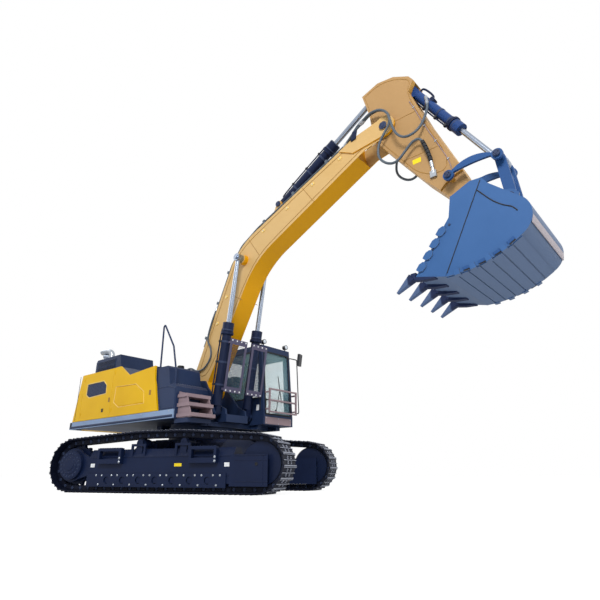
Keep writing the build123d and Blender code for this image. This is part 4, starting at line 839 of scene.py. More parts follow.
def line_tube(first: Sequence[float], last: Sequence[float], radius: float, steps: int,
              corners: int = 6) -> Shape:
    """Straight round bar between two points, in even steps."""
    return tube(np.linspace(first, last, steps), radius, corners)


def axes_of(out: Sequence[float], along: Sequence[float] = (0.0, 0.0, 1.0)) -> np.ndarray:
    """Rows u, v and w of a surface, square to one another.

    Args:
        out: the way it looks, w.
        along: what v is as near to as can be.

    Returns:
        The three rows.
    """
    w = unit(out)
    v = np.asarray(along, float) - w * np.dot(along, w)
    if np.linalg.norm(v) < 1e-6:
        v = np.array([0.0, 1.0, 0.0]) - w * w[1]
    v = unit(v)
    return np.stack([np.cross(v, w), v, w])


def facing(way: float) -> np.ndarray:
    """Rows u, v and w of a surface that looks out to one side, upright."""
    return axes_of((0.0, way, 0.0))


class Side(Enum):
    """Rows u, v and w for a flat piece drawn in x and z, or in y and z for the front."""

    RIGHT = ((1.0, 0.0, 0.0), (0.0, 0.0, 1.0), (0.0, -1.0, 0.0))
    LEFT = ((1.0, 0.0, 0.0), (0.0, 0.0, 1.0), (0.0, 1.0, 0.0))
    FRONT = ((0.0, 1.0, 0.0), (0.0, 0.0, 1.0), (1.0, 0.0, 0.0))

    @staticmethod
    def of(way: float) -> "Side":
        """The right side for a way below zero, and the left one above it."""
        return Side.RIGHT if way < 0 else Side.LEFT

    def lay(self, shape: Shape, at: Sequence[float]) -> Shape:
        """The shape laid on this side, its w = 0 at a place."""
        return shape.turned(np.array(self.value)).moved(at).outward()


class Zone(Enum):
    """Turn of the frame in which a piece's points are written: the house's, or the undercarriage's."""

    HOUSE = 0.0
    UNDER = SWING_ANGLE

    def to_row(self, shape: Shape) -> Shape:
        """The shape in the row frame: turned about the swing axis and carried to its place."""
        c, s = cos(self.value), sin(self.value)
        return shape.turned(np.array([(c, s, 0.0), (-s, c, 0.0), (0.0, 0.0, 1.0)])).moved((SWING_X, 0.0, 0.0))


def both(value: float) -> Flat:
    """A distance to one side and the same to the other."""
    return value, -value


def emit(name: str, shape: Shape | Sequence[Shape], finish: str, body: Optional[str]) -> bpy.types.Object:
    """Makes one piece and, when a body is named, lets it ride on it.

    Args:
        name: the piece's name.
        shape: its surface, or several, in the undercarriage's frame or, for any other body, the house's.
        finish: its finish.
        body: the moving body that it follows, or None for a piece that follows no body.

    Returns:
        The Blender object.
    """
    zone = Zone.UNDER if body == "undercarriage" else Zone.HOUSE
    surface = zone.to_row(shape if isinstance(shape, Shape) else joined(*shape))
    mesh = bpy.data.meshes.new(name)
    faces = [face for group in surface.faces for face in group.tolist()]
    mesh.from_pydata(surface.points.tolist(), [], faces)
    mesh.shade_smooth()
    mesh.set_sharp_from_angle(angle=SHARP_ANGLE)
    mesh.materials.append(FINISH[finish])
    piece = add_object(name, mesh)
    if body is not None:
        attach(piece, body)
    LOG.info("%s: %d faces", name, len(mesh.polygons))
    return piece


# Undercarriage
@dataclass
class Tracks:
    """Fittings of the two track chains, all placed along the chain's loop."""

    rise: float = 0.110
    grouser: float = 0.038
    shoes: int = 56
    shoe_plate: float = 0.014
    shoe_width: float = 0.600
    rail_height: float = 0.105
    rails: Flat = (0.055, 0.105)
    bolt_shares: tuple[float, ...] = (0.25, 0.39, 0.66, 0.80)
    edge_shares: tuple[Flat, ...] = ((0.06, 0.022), (0.51, 0.012), (0.985, 0.012))

    def loop(self) -> np.ndarray:
        """Dense line under the shoes, anticlockwise in the side view.

        Two straights are joined by an arc at each end, and the top run rises to the two carrier rollers.

        Returns:
            Its points in x and z, the first one repeated at the end.
        """
        radius = AXLE_Z - self.grouser
        lift = radius + self.rise
        carrier = 0.24 * TRACK_REACH
        run = TRACK_REACH - carrier
        lean = np.arctan2(lift, -run) - np.arccos(radius / hypot(run, lift))
        turn = np.linspace(-pi / 2, lean, 160)
        front = np.stack([TRACK_REACH + radius * np.cos(turn), AXLE_Z + radius * np.sin(turn)], axis=1)
        top = np.array([(carrier, AXLE_Z + lift), (-carrier, AXLE_Z + lift)])
        rear = (front * (-1.0, 1.0))[::-1]
        return np.vstack([front, top, rear, front[:1]])

    def pins(self) -> tuple[np.ndarray, np.ndarray, np.ndarray]:
        """Places of the pins, at one pitch from one another along the loop.

        Returns:
            The places, the directions ahead and the directions outwards, all in x and z.
        """
        line = self.loop()
        reach = reach_along(line)
        start = reach[-1] - 2.0 * TRACK_REACH
        at = (start + np.arange(self.shoes) * reach[-1] / self.shoes) % reach[-1]
        pins = np.stack([np.interp(at, reach, line[:, k]) for k in range(2)], axis=1)
        ahead = unit(np.roll(pins, -1, axis=0) - pins)
        return pins, ahead, np.stack([ahead[:, 1], -ahead[:, 0]], axis=1)

    def build(self) -> None:
        """Makes the grouser edges, bolts, plates and bosses of both chains."""
        pins, ahead, out = self.pins()
        pitch = float(np.linalg.norm(pins[1] - pins[0]))
        w, v = (at_y(way, 0.0) for way in (out, ahead))
        frames = np.stack([np.cross(v, w), v, w], axis=1)
        head = bolt(0.013, 0.016)
        link = block(0.085, 0.120, 0.012)
        boss = lathe([(0.0, 0.034), (0.012, 0.034), (0.016, 0.028), (0.016, 0.016), (0.020, 0.014)], 16)
        low = pins - out * (0.5 * self.rail_height)
        half_on = low + ahead * (0.5 * pitch)
        # The shoes on the ground go without edges, which would reach below it
        off_ground = out[:, 1] > -0.97
        for side, label in SIDES:
            middle = side * TRACK_GAUGE / 2
            bolts, links, bosses, edges = [], [], [], []
            for share in self.bolt_shares:
                spots = pins + ahead * (share * pitch) + out * self.shoe_plate
                bolts += [head.copied(at_y(spots, middle + rail), frames)
                          for rail in both(sum(self.rails) / 2)]
            for face in both(self.rails[1]):
                sideways = np.broadcast_to(np.array([0.0, np.sign(face), 0.0]), v.shape)
                flat = np.stack([np.cross(v, sideways), v, sideways], axis=1)
                links.append(link.copied(at_y(half_on, middle + face), flat))
                bosses.append(boss.copied(at_y(low, middle + face), flat))
            for share, width in self.edge_shares:
                spots = (pins + ahead * (share * pitch) + out * (self.grouser - 0.008))[off_ground]
                strip = block(self.shoe_width, width, 0.0085, 0.002)
                edges.append(strip.copied(at_y(spots, middle), frames[off_ground]))
            for kind, shapes, finish in (("edges", edges, "rubbed_steel"),
                                         ("bolts", bolts, "rubbed_steel"),
                                         ("links", links, "track_steel"),
                                         ("pin_bosses", bosses, "lip_steel")):
                emit(f"track_{label}_{kind}", shapes, finish, "undercarriage")


@dataclass
class TrackFrames:
    """Fittings of the track frames: guard and step bolts, drive covers, yoke seams and blank plates."""

    half: float = 0.200
    guard: float = 0.0223
    rollers: tuple[float, float, int] = (-1.660, 1.560, 9)
    steps: Flat = (-1.500, 0.760)
    step_length: float = 0.610
    step_face: float = 0.1003
    yoke_stand: float = 0.035

    def face(self, way: float, stand: float) -> float:
        """How far across a face stands off the side of the right or left frame."""
        return way * TRACK_GAUGE / 2 + way * (self.half + stand)

    def guard_bolts(self, way: float, label: str) -> None:
        """Bolt heads along the roller guards, a low one between rollers and a high pair beside each scallop.

        Args:
            way: -1 for the right frame, 1 for the left.
            label: the frame's name.
        """
        place = np.linspace(*self.rollers)
        between = (place[:-1] + place[1:]) / 2
        y = self.face(way, self.guard)
        rows = np.vstack([rows_of(between + ahead, y, z)
                          for ahead, z in ((0.0, 0.165), (-0.075, 0.345), (0.075, 0.345))])
        emit(f"guard_bolts_{label}", bolt(0.015, 0.014).copied(rows, facing(way)), "fitting", "undercarriage")

    def step_trim(self, way: float, label: str) -> None:
        """Toothed treads on the step frames, and the bolts of their lower flange.

        Args:
            way: -1 for the right frame, 1 for the left.
            label: the frame's name.
        """
        y = self.face(way, self.step_face)
        treads, bolts = [], []
        for rear in self.steps:
            x = np.linspace(rear + 0.05, rear + self.step_length - 0.05, 9)
            treads.append(block(0.018, 0.085, 0.009).copied(rows_of(x, y - way * 0.05, 0.8795)))
            rows = rows_of(rear + self.step_length - 0.028, y, (0.605, 0.680))
            bolts.append(bolt(0.018, 0.016).copied(rows, facing(way)))
        emit(f"step_treads_{label}", treads, "lip_steel", "undercarriage")
        emit(f"step_bolts_{label}", bolts, "fitting", "undercarriage")

    def drive_cover(self, way: float, label: str) -> None:
        """Domed cover of a final drive with two rings of bolts.

        Args:
            way: -1 for the right frame, 1 for the left.
            label: the frame's name.
        """
        y = self.face(way, 0.060)
        cover = lathe([(0.0, 0.282), (0.010, 0.276), (0.014, 0.190), (0.024, 0.182), (0.028, 0.120),
                       (0.040, 0.112), (0.042, 0.01)], 48)
        emit(f"drive_cover_{label}", cover.copied([(-TRACK_REACH, y, AXLE_Z)], facing(way)), "navy_paint",
             "undercarriage")
        heads = []
        for count, radius, size in ((18, 0.235, 0.014), (8, 0.150, 0.011)):
            angle = turn_angles(count)
            rows = rows_of(radius * np.cos(angle) - TRACK_REACH, y + way * 0.009,
                           radius * np.sin(angle) + AXLE_Z)
            heads.append(bolt(size, 0.018).copied(rows, facing(way)))
        emit(f"drive_bolts_{label}", heads, "lip_steel", "undercarriage")

    def yoke_trim(self, way: float, label: str) -> None:
        """Weld seams, ribs and grease port on the idler end of a frame, with blank plates on its side.

        Args:
            way: -1 for the right frame, 1 for the left.
            label: the frame's name.
        """
        seams = (((1.70, 0.62), (1.70, 0.17), 0.002), ((1.74, 0.70), (2.40, 0.70), 0.036),
                 ((1.70, 0.345), (-1.70, 0.345), 0.002), ((1.66, 0.700), (-1.74, 0.700), 0.002))
        beads = []
        for first, last, stand in seams:
            y = self.face(way, stand)
            beads.append(line_tube(at_y(first, y), at_y(last, y), 0.009, 12))
        emit(f"frame_welds_{label}", beads, "navy_paint", "undercarriage")
        y = self.face(way, self.yoke_stand)
        ribs = [line_tube((1.73, y, z), (2.425, y, z), 0.007, 2) for z in (0.235, 0.610)]
        ribs.append(line_tube((2.33, y, 0.18), (2.33, y, 0.70), 0.006, 2))
        emit(f"yoke_ribs_{label}", ribs, "navy_paint", "undercarriage")
        port = lathe([(0.0, 0.030), (0.010, 0.030), (0.012, 0.022), (0.003, 0.020), (0.002, 0.005)], 20)
        emit(f"yoke_port_{label}", port.copied([(2.20, y, 0.545)], facing(way)), "seal", "undercarriage")
        at = (0.0, self.face(way, 0.0), 0.0)
        for kind, width, height, places, finish in (
                ("blank_plates", 0.11, 0.075, (-1.68, 1.56), "blank_white"),
                ("blank_sign", 0.17, 0.06, (0.46,), "blank_yellow")):
            blanks = [Side.of(way).lay(block(width, height, 0.003, 0.001, (x, 0.54)), at) for x in places]
            emit(f"frame_{kind}_{label}", blanks, finish, "undercarriage")

    def build(self) -> None:
        """Makes every fitting of both frames."""
        for make in (self.guard_bolts, self.step_trim, self.drive_cover, self.yoke_trim):
            for way, label in SIDES:
                make(way, label)


# House
@dataclass
class Doors:
    """Vent, embossed panel, latches and hinges of the side doors."""

    recess: float = 0.012
    window: Outline = (
        (-2.920, 2.270), (-2.750, 2.180), (-1.910, 2.210), (-1.920, 2.430), (-2.090, 2.560), (-2.910, 2.560))
    emboss: Outline = (
        (-1.520, 1.960), (-1.290, 1.830), (-0.220, 1.830), (-0.260, 2.100), (-0.610, 2.310), (-1.490, 2.340))
    hardware: tuple[tuple[str, float, float, float], ...] = (
        ("right_rear_door", -1.0, -1.735, -3.075), ("right_middle_door", -1.0, -0.02, -1.60),
        ("left_rear_door", 1.0, -1.83, -3.075), ("left_front_door", 1.0, -0.53, -1.71))

    def vent(self) -> None:
        """Dark vent of the rear door behind a rim in a pale painted highlight, with slats that slope down and
        out.
        """
        at = (0.0, -HOUSE_HALF + self.recess, 0.0)
        panel = plate(drawn_in(self.window, 0.006), 0.004, 0.001)
        emit("rear_vent_panel", Side.RIGHT.lay(panel, at), "slate_paint", "right_rear_door")
        rim = frame_bar(self.window, 0.020, 0.017, 0.006)
        emit("rear_vent_rim", Side.RIGHT.lay(rim, at), "pale_edge", "right_rear_door")
        heights = np.arange(2.245, 2.53, 0.034)
        left = np.interp(heights, (2.18, 2.27, 2.56), (-2.75, -2.885, -2.88))
        right = np.interp(heights, (2.21, 2.43, 2.56), (-1.945, -1.955, -2.125))
        slats = [Side.RIGHT.lay(block(last - first, 0.020, 0.006, 0.003, ((first + last) / 2, z)),
                                (0.0, at[1] - 0.003, 0.0))
                 for z, first, last in zip(heights, left, right)]
        emit("rear_vent_slats", slats, "slate_paint", "right_rear_door")

    def middle_panel(self) -> None:
        """Raised panel of the middle door with its rim in a pale painted highlight, and the rear door's small
        square vent.
        """
        at = (0.0, -HOUSE_HALF + self.recess, 0.0)
        raised = plate(drawn_in(self.emboss, 0.028), 0.010, 0.009)
        emit("middle_door_panel", Side.RIGHT.lay(raised, at), "yellow_paint", "right_middle_door")
        rim = frame_bar(self.emboss, 0.014, 0.015, 0.006)
        emit("middle_door_rim", Side.RIGHT.lay(rim, at), "pale_edge", "right_middle_door")
        square = block(0.085, 0.085, 0.006, 0.002, (-2.00, 1.82))
        emit("rear_door_vent", Side.RIGHT.lay(square, (0.0, -HOUSE_HALF, 0.0)), "seal", "right_rear_door")

    def latches(self) -> None:
        """Latch and two bolted hinge leaves of each door."""
        for body, way, latch_x, hinge_x in self.hardware:
            side, y = Side.of(way), way * HOUSE_HALF
            latch = [side.lay(block(width, height, depth, bevel, (latch_x, z)), (0.0, y, 0.0))
                     for width, height, depth, bevel, z in ((0.075, 0.110, 0.004, 0.002, 2.05),
                                                            (0.050, 0.070, 0.009, 0.004, 2.058))]
            emit(f"{body}_latch", latch, "yellow_shade", body)
            hinges = [side.lay(block(0.050, 0.090, 0.007, 0.003, (hinge_x, z)), (0.0, y, 0.0))
                      for z in (1.80, 2.70)]
            rows = rows_of(hinge_x, way * (HOUSE_HALF + 0.00675), (1.775, 1.825, 2.675, 2.725))
            hinges.append(bolt(0.008, 0.007).copied(rows, facing(way)))
            emit(f"{body}_hinges", hinges, "yellow_paint", body)

    def build(self) -> None:
        """Makes every fitting of the doors."""
        self.vent()
        self.middle_panel()
        self.latches()


@dataclass
class HouseTrim:
    """Seams, lips, louvres, treads and small fittings of the upper structure."""

    cowl: float = 1.250
    cowl_slots: Flat = (2.925, 3.065)
    steps: tuple[Point, ...] = ((0.90, 1.17, 1.93), (1.17, 1.27, 1.74), (1.27, 1.35, 1.53))

    def skirt_lip(self) -> None:
        """Rounded dark lip under the skirts, the rubber end at the rear corners and a row of bolts."""
        for (way, label), front in zip(SIDES, (0.880, -0.358)):
            y = way * (HOUSE_HALF - 0.030)
            lip = line_tube((-3.515, y, 1.492), (front - 0.02, y, 1.492), 0.042, 24, 16)
            emit(f"skirt_lip_{label}", lip, "slate_paint", "house")
            y = way * HOUSE_HALF
            end = Side.of(way).lay(block(0.09, 0.150, 0.005, 0.002, (-3.50, 1.54)), (0.0, y, 0.0))
            emit(f"skirt_end_{label}", end, "seal", "house")
            rows = rows_of(np.linspace(-3.30, front - 0.15, 9), y, 1.595)
            emit(f"skirt_bolts_{label}", bolt(0.011, 0.008).copied(rows, facing(way)), "fitting", "house")

    def weight_trim(self) -> None:
        """Casting seam and lifting-hole collars of the counterweight."""
        for way, label in SIDES:
            y = way * 1.4995
            seam = line_tube((-3.335, y, 1.66), (-3.335, y, 2.80), 0.006, 10)
            emit(f"weight_seam_{label}", seam, "seal", "house")
        collar = lathe([(0.0, 0.060), (0.012, 0.060), (0.018, 0.052), (0.018, 0.026), (0.0, 0.024)], 28)
        collars = collar.copied(rows_of(-3.330, (-0.9, 0.9), 2.815))
        emit("lifting_hole_collars", collars, "yellow_paint", "house")

    def cowl_louvres(self) -> None:
        """Long louvre slots on the cowl's side, and rows of slots and ribs on the hood."""
        slots, fins = [], []
        for low in self.cowl_slots:
            middle = (-2.55, low + 0.045)
            slots.append(Side.RIGHT.lay(block(0.86, 0.100, 0.004, 0.001, middle), (0.0, -self.cowl, 0.0)))
            fins += [Side.RIGHT.lay(block(0.84, 0.015, 0.012, 0.005, (-2.55, low + 0.012 + 0.023 * k)),
                                    (0.0, -self.cowl - 0.002, 0.0)) for k in range(4)]
            fins.append(Side.RIGHT.lay(frame_bar(rectangle(0.90, 0.128, middle), 0.016, 0.010),
                                       (0.0, -self.cowl, 0.0)))
        emit("cowl_slots", slots, "seal", "house")
        emit("cowl_louvres", fins, "slate_paint", "house")
        rows = [(x, y, 2.957) for x in np.linspace(-2.85, -1.75, 12) for y in (0.20, 0.72)]
        emit("hood_louvres", block(0.032, 0.34, 0.008, 0.003).copied(rows), "seal", "engine_hood")
        ribs = [line_tube((-2.95, y, 2.958), (-1.62, y, 2.958), 0.012, 2, 8) for y in (-0.10, 0.46, 0.98)]
        emit("hood_ribs", ribs, "slate_paint", "engine_hood")

    def treads(self) -> None:
        """Raised studs on the steps and the tank, in rows as on pressed tread plate."""
        stud = lathe([(0.0, 0.013), (0.004, 0.011), (0.0055, 0.006)], 8)
        rows = []
        for rear, front, top in self.steps:
            grid = np.meshgrid(np.arange(rear + 0.03, front - 0.01, 0.04), np.arange(-1.39, -0.80, 0.045))
            rows.append(rows_of(*grid, top - 0.0005))
        emit("step_studs", stud.copied(np.vstack(rows)), "fitting", "house")
        grid = np.meshgrid(np.arange(0.66, 0.80, 0.045), np.arange(-1.40, -0.72, 0.045))
        emit("tank_studs", stud.copied(rows_of(*grid, 2.1595)), "fitting", "house")

    def tank_trim(self) -> None:
        """Filler cap and panel edge of the tank, with the handrail's foot flanges."""
        cap = lathe([(0.0, 0.078), (0.010, 0.080), (0.045, 0.076), (0.052, 0.066), (0.052, 0.012)], 24)
        emit("filler_cap", cap.copied([(0.33, -1.0, 2.615)]), "seal", "house")
        foot = lathe([(0.0, 0.046), (0.008, 0.046), (0.010, 0.030), (0.020, 0.026)], 20)
        feet = foot.copied([(0.20, -1.44, 2.576), (0.77, -1.42, 2.161)])
        emit("handrail_feet", feet, "slate_paint", "house")
        edge = frame_bar([(0.37, 1.66), (0.85, 1.66), (0.85, 2.07), (0.62, 2.13), (0.20, 2.13), (0.24, 1.95)],
                         0.018, 0.008)
        emit("tank_panel_edge", Side.RIGHT.lay(edge, (0.0, -1.465, 0.0)), "slate_paint", "house")

    def exhaust_trim(self) -> None:
        """Clamp and bent outlet of the exhaust stack."""
        band = lathe([(0.0, 0.070), (0.0, 0.074), (0.030, 0.074), (0.030, 0.070)], 28)
        emit("exhaust_band", band.copied([(-2.78, -1.01, 3.262)]), "fitting", "house")
        bend = rounded([(-2.78, -1.01, 3.265), (-2.78, -1.01, 3.42), (-2.84, -1.03, 3.49),
                        (-3.00, -1.07, 3.52), (-3.13, -1.11, 3.50)])
        emit("exhaust_outlet", tube(bend, 0.078, 28), "fitting", "house")

    def build(self) -> None:
        """Makes every small fitting of the house."""
        self.skirt_lip()
        self.weight_trim()
        self.cowl_louvres()
        self.treads()
        self.tank_trim()
        self.exhaust_trim()


@dataclass
class Cab:
    """Gaskets, wiper, handles and controls of the cab, and the operator's cushions."""

    right: float = 0.612
    left: float = 1.620
    rear: float = -0.350
    front: float = 1.400
    waist: float = 2.060
    head: float = 3.180
    rake: float = 0.130

    @property
    def middle(self) -> float:
        """Middle of the cab across the machine."""
        return (self.right + self.left) / 2

    def face(self, z: float) -> float:
        """Place of the raked front at a height."""
        return self.front - self.rake * max(0.0, z - 1.640) / 1.690

    def gasket(self, side: Side, pane: Any, grown: float, width: float) -> Shape:
        """Rubber profile round one side pane.

        Args:
            side: the cab's side that the pane is in.
            pane: the pane's corners in x and z.
            grown: how far the profile lies outside them.
            width: the profile's width.

        Returns:
            The profile on the cab's skin.
        """
        at = (0.0, self.right if side is Side.RIGHT else self.left, 0.0)
        return side.lay(frame_bar(drawn_in(pane, -grown), width, 0.008), at)

    def gaskets(self) -> None:
        """Rubber profiles round the panes, the windscreen's bar and the door's pull."""
        rear = self.rear + 0.130
        side = [(rear, self.waist), (self.front - 0.140, self.waist), (self.front - 0.230, self.head),
                (rear, self.head)]
        light = [(rear, self.waist), (0.240, self.waist), (0.240, self.head), (rear, self.head)]
        door = [(0.400, 1.810), (1.180, 1.810), (1.100, 3.120), (0.400, 3.120)]
        outer = [self.gasket(Side.RIGHT, side, 0.022, 0.030), self.gasket(Side.LEFT, light, 0.022, 0.030)]
        emit("cab_side_gaskets", outer, "seal", "house")
        lean = np.array([self.face(3.18) - self.face(1.68), 0.0, 1.50])
        axes = axes_of((lean[2], 0.0, -lean[0]), lean)
        at = (self.face(2.43) + 0.001, self.middle, 2.43)
        pane = rectangle(0.90, float(np.linalg.norm(lean)) + 0.03)
        emit("windscreen_gasket", frame_bar(pane, 0.034, 0.010).turned(axes).moved(at), "seal", "house")
        bar = block(0.86, 0.035, 0.008, 0.003, (0.0, -0.42))
        emit("windscreen_bar", bar.turned(axes).moved(at), "seal", "house")
        emit("door_gasket", self.gasket(Side.LEFT, door, 0.020, 0.028), "seal", "cab_door")
        pull = rounded([(1.10, 1.624, 1.76), (1.10, 1.662, 1.77), (1.06, 1.662, 2.30), (1.06, 1.624, 2.31)])
        emit("door_pull", tube(pull, 0.011), "seal", "cab_door")

    def wiper(self) -> None:
        """Wiper arm and blade at rest on the windscreen."""
        x = self.face(1.78) + 0.022
        arm = tube([(x, 1.02, 1.78), (self.face(2.30) + 0.026, 1.18, 2.30)], 0.008, 8)
        blade = tube([(self.face(1.98) + 0.012, 1.23, 1.98), (self.face(2.62) + 0.012, 1.15, 2.62)], 0.010, 6)
        hub = lathe([(0.0, 0.024), (0.018, 0.024), (0.024, 0.016)], 16)
        hub = hub.copied([(x - 0.022, 1.02, 1.78)], axes_of((1.0, 0.0, 0.077)))
        emit("wiper", [arm, blade, hub], "seal", "house")

    def plinth(self) -> None:
        """Rose panel with its bolts on the plinth, the pillar's blank plate and the grab rail."""
        panel = block(0.90, 0.165, 0.006, middle=(self.middle, 1.535))
        emit("plinth_panel", Side.FRONT.lay(panel, (self.front, 0.0, 0.0)), "rose_steel", "house")
        rows = [(self.front + 0.0055, y, z) for y in (0.70, 1.11, 1.53) for z in (1.475, 1.595)]
        emit("plinth_bolts", bolt(0.010, 0.008).copied(rows, axes_of((1.0, 0.0, 0.0))), "fitting", "house")
        blank = Side.RIGHT.lay(block(0.09, 0.13, 0.003, 0.001, (1.20, 1.83)), (0.0, self.right, 0.0))
        emit("cab_blank_plate", blank, "blank_white", "house")
        rail = rounded([(1.28, 0.607, 1.75), (1.30, 0.597, 1.78), (1.22, 0.597, 2.95), (1.18, 0.607, 2.98)])
        emit("cab_grab_rail", tube(rail, 0.010), "seal", "house")

    def lamps(self) -> None:
        """Lens and rim of each roof lamp."""
        lens = lathe([(0.0, 0.050), (0.004, 0.048), (0.010, 0.034), (0.013, 0.006)], 24)
        rim = lathe([(-0.02, 0.0555), (-0.02, 0.059), (0.006, 0.059), (0.006, 0.050), (0.0, 0.050)], 24)
        rows = rows_of(1.275, (0.722, 1.510), 3.425)
        axes = axes_of((1.0, 0.0, 0.0))
        emit("roof_lamp_lenses", lens.copied(rows, axes), "lens", "house")
        emit("roof_lamp_rims", rim.copied(rows, axes), "lamp", "house")

    def cushion(self, name: str, size: Point, at: Point, lean: float) -> None:
        """One upholstered cushion, a rounded block whose faces swell and whose seams pull in.

        Its points run over longitude u and latitude v, with cosines and sines raised to a power of 0.3,
        which makes a ball nearly a block. The thickness swells by a cosine across and along, less a
        narrow bell at each seam, and the edge puckers by a sine of u.

        Args:
            name: the piece's name.
            size: its width across, depth and thickness.
            at: its middle.
            lean: turn of the depth axis towards upright.
        """
        u, v = np.meshgrid(np.linspace(-pi, pi, 97)[:-1], np.linspace(-pi / 2, pi / 2, 49))
        shape = [np.sign(f) * np.abs(f) ** 0.30 for f in (np.cos(u), np.sin(u), np.cos(v), np.sin(v))]
        across, deep, thick = shape[0] * shape[2], shape[1] * shape[2], shape[3]
        seam = np.exp(-((np.abs(across) - 0.62) / 0.05) ** 2) + np.exp(-((deep - 0.25) / 0.06) ** 2)
        pucker = 0.04 * np.sin(9.0 * u) * np.exp(-((np.abs(thick) - 0.6) / 0.3) ** 2)
        swell = 0.80 + 0.20 * np.cos(across * 1.35) * np.cos(deep * 1.35) - 0.10 * seam
        points = np.stack([across, deep * (1.0 + 0.3 * pucker), thick * swell], axis=2) * np.array(size) / 2
        c, s = cos(lean), sin(lean)
        axes = np.array([(0.0, 1.0, 0.0), (-c, 0.0, s), (s, 0.0, c)])
        piece = emit(name, rings(points[1:-1]).turned(axes).moved(at).outward(), "seat_cloth", "house")

    def controls(self) -> None:
        """Two levers with their boots."""
        boot = lathe([(0.0, 0.052), (0.018, 0.050), (0.022, 0.040), (0.040, 0.041), (0.045, 0.032),
                      (0.062, 0.033), (0.068, 0.020)], 20)
        grip = lathe([(0.0, 0.016), (0.05, 0.019), (0.10, 0.024), (0.135, 0.021), (0.150, 0.010)], 20)
        y = self.middle + np.array([-0.330, 0.330])
        emit("lever_boots", boot.copied(rows_of(0.56, y, 2.205)), "cab_plastic", "house")
        emit("lever_grips", grip.copied(rows_of(0.56, y, 2.360)), "seal", "house")

    def build(self) -> None:
        """Makes everything on and in the cab."""
        self.gaskets()
        self.wiper()
        self.plinth()
        self.lamps()
        self.cushion("seat_cushion", (0.50, 0.54, 0.150), (0.27, self.middle, 2.075), 0.06)
        self.cushion("seat_back", (0.47, 0.72, 0.130), (-0.005, self.middle, 2.395), 1.44)
        self.controls()


# Boom, arm and cylinders
@dataclass(frozen=True)
class Pin:
    """Visible end of one linkage pin: where its cap stands, and the body that carries it."""

    name: str
    at: Flat
    face: float
    radius: float
    body: str


PINS = (
    Pin("boom_tip_pin", (5.460, 6.980), 0.310, 0.085, "boom"),
    Pin("boom_foot_pin", (0.200, 2.250), 0.322, 0.085, "house"),
    Pin("lift_foot_pin", (0.970, 1.640), 0.566, 0.070, "house"),
    Pin("arm_cylinder_base_pin", (2.450, 6.430), 0.136, 0.070, "boom"),
    Pin("bucket_hinge_pin", (6.930, 4.720), 0.301, 0.072, "bucket"),
    Pin("link_a_pin", (6.675, 5.232), 0.401, 0.060, "arm"),
    Pin("link_b_pin", (7.510, 5.270), 0.401, 0.060, "side_links"),
    Pin("link_c_pin", (7.590, 4.490), 0.301, 0.060, "bucket"),
)


def pin_caps() -> None:
    """Round cap and three bolts on both ends of every linkage pin."""
    for pin in PINS:
        r = pin.radius
        cap = lathe([(0.0, r), (0.012, r), (0.018, 0.88 * r), (0.018, 0.45 * r), (0.024, 0.40 * r),
                     (0.024, 0.02)], 32)
        angle = turn_angles(3) + 0.5
        circle = 0.68 * r * np.stack([np.cos(angle), np.sin(angle)], axis=1)
        parts = []
        for way, _ in SIDES:
            rows = at_y(pin.at + circle, way * (pin.face + 0.017))
            parts += [cap.copied(at_y(pin.at, way * pin.face), facing(way)),
                      bolt(0.011, 0.012).copied(rows, facing(way))]
        emit(f"{pin.name}_caps", parts, "lip_steel", pin.body)


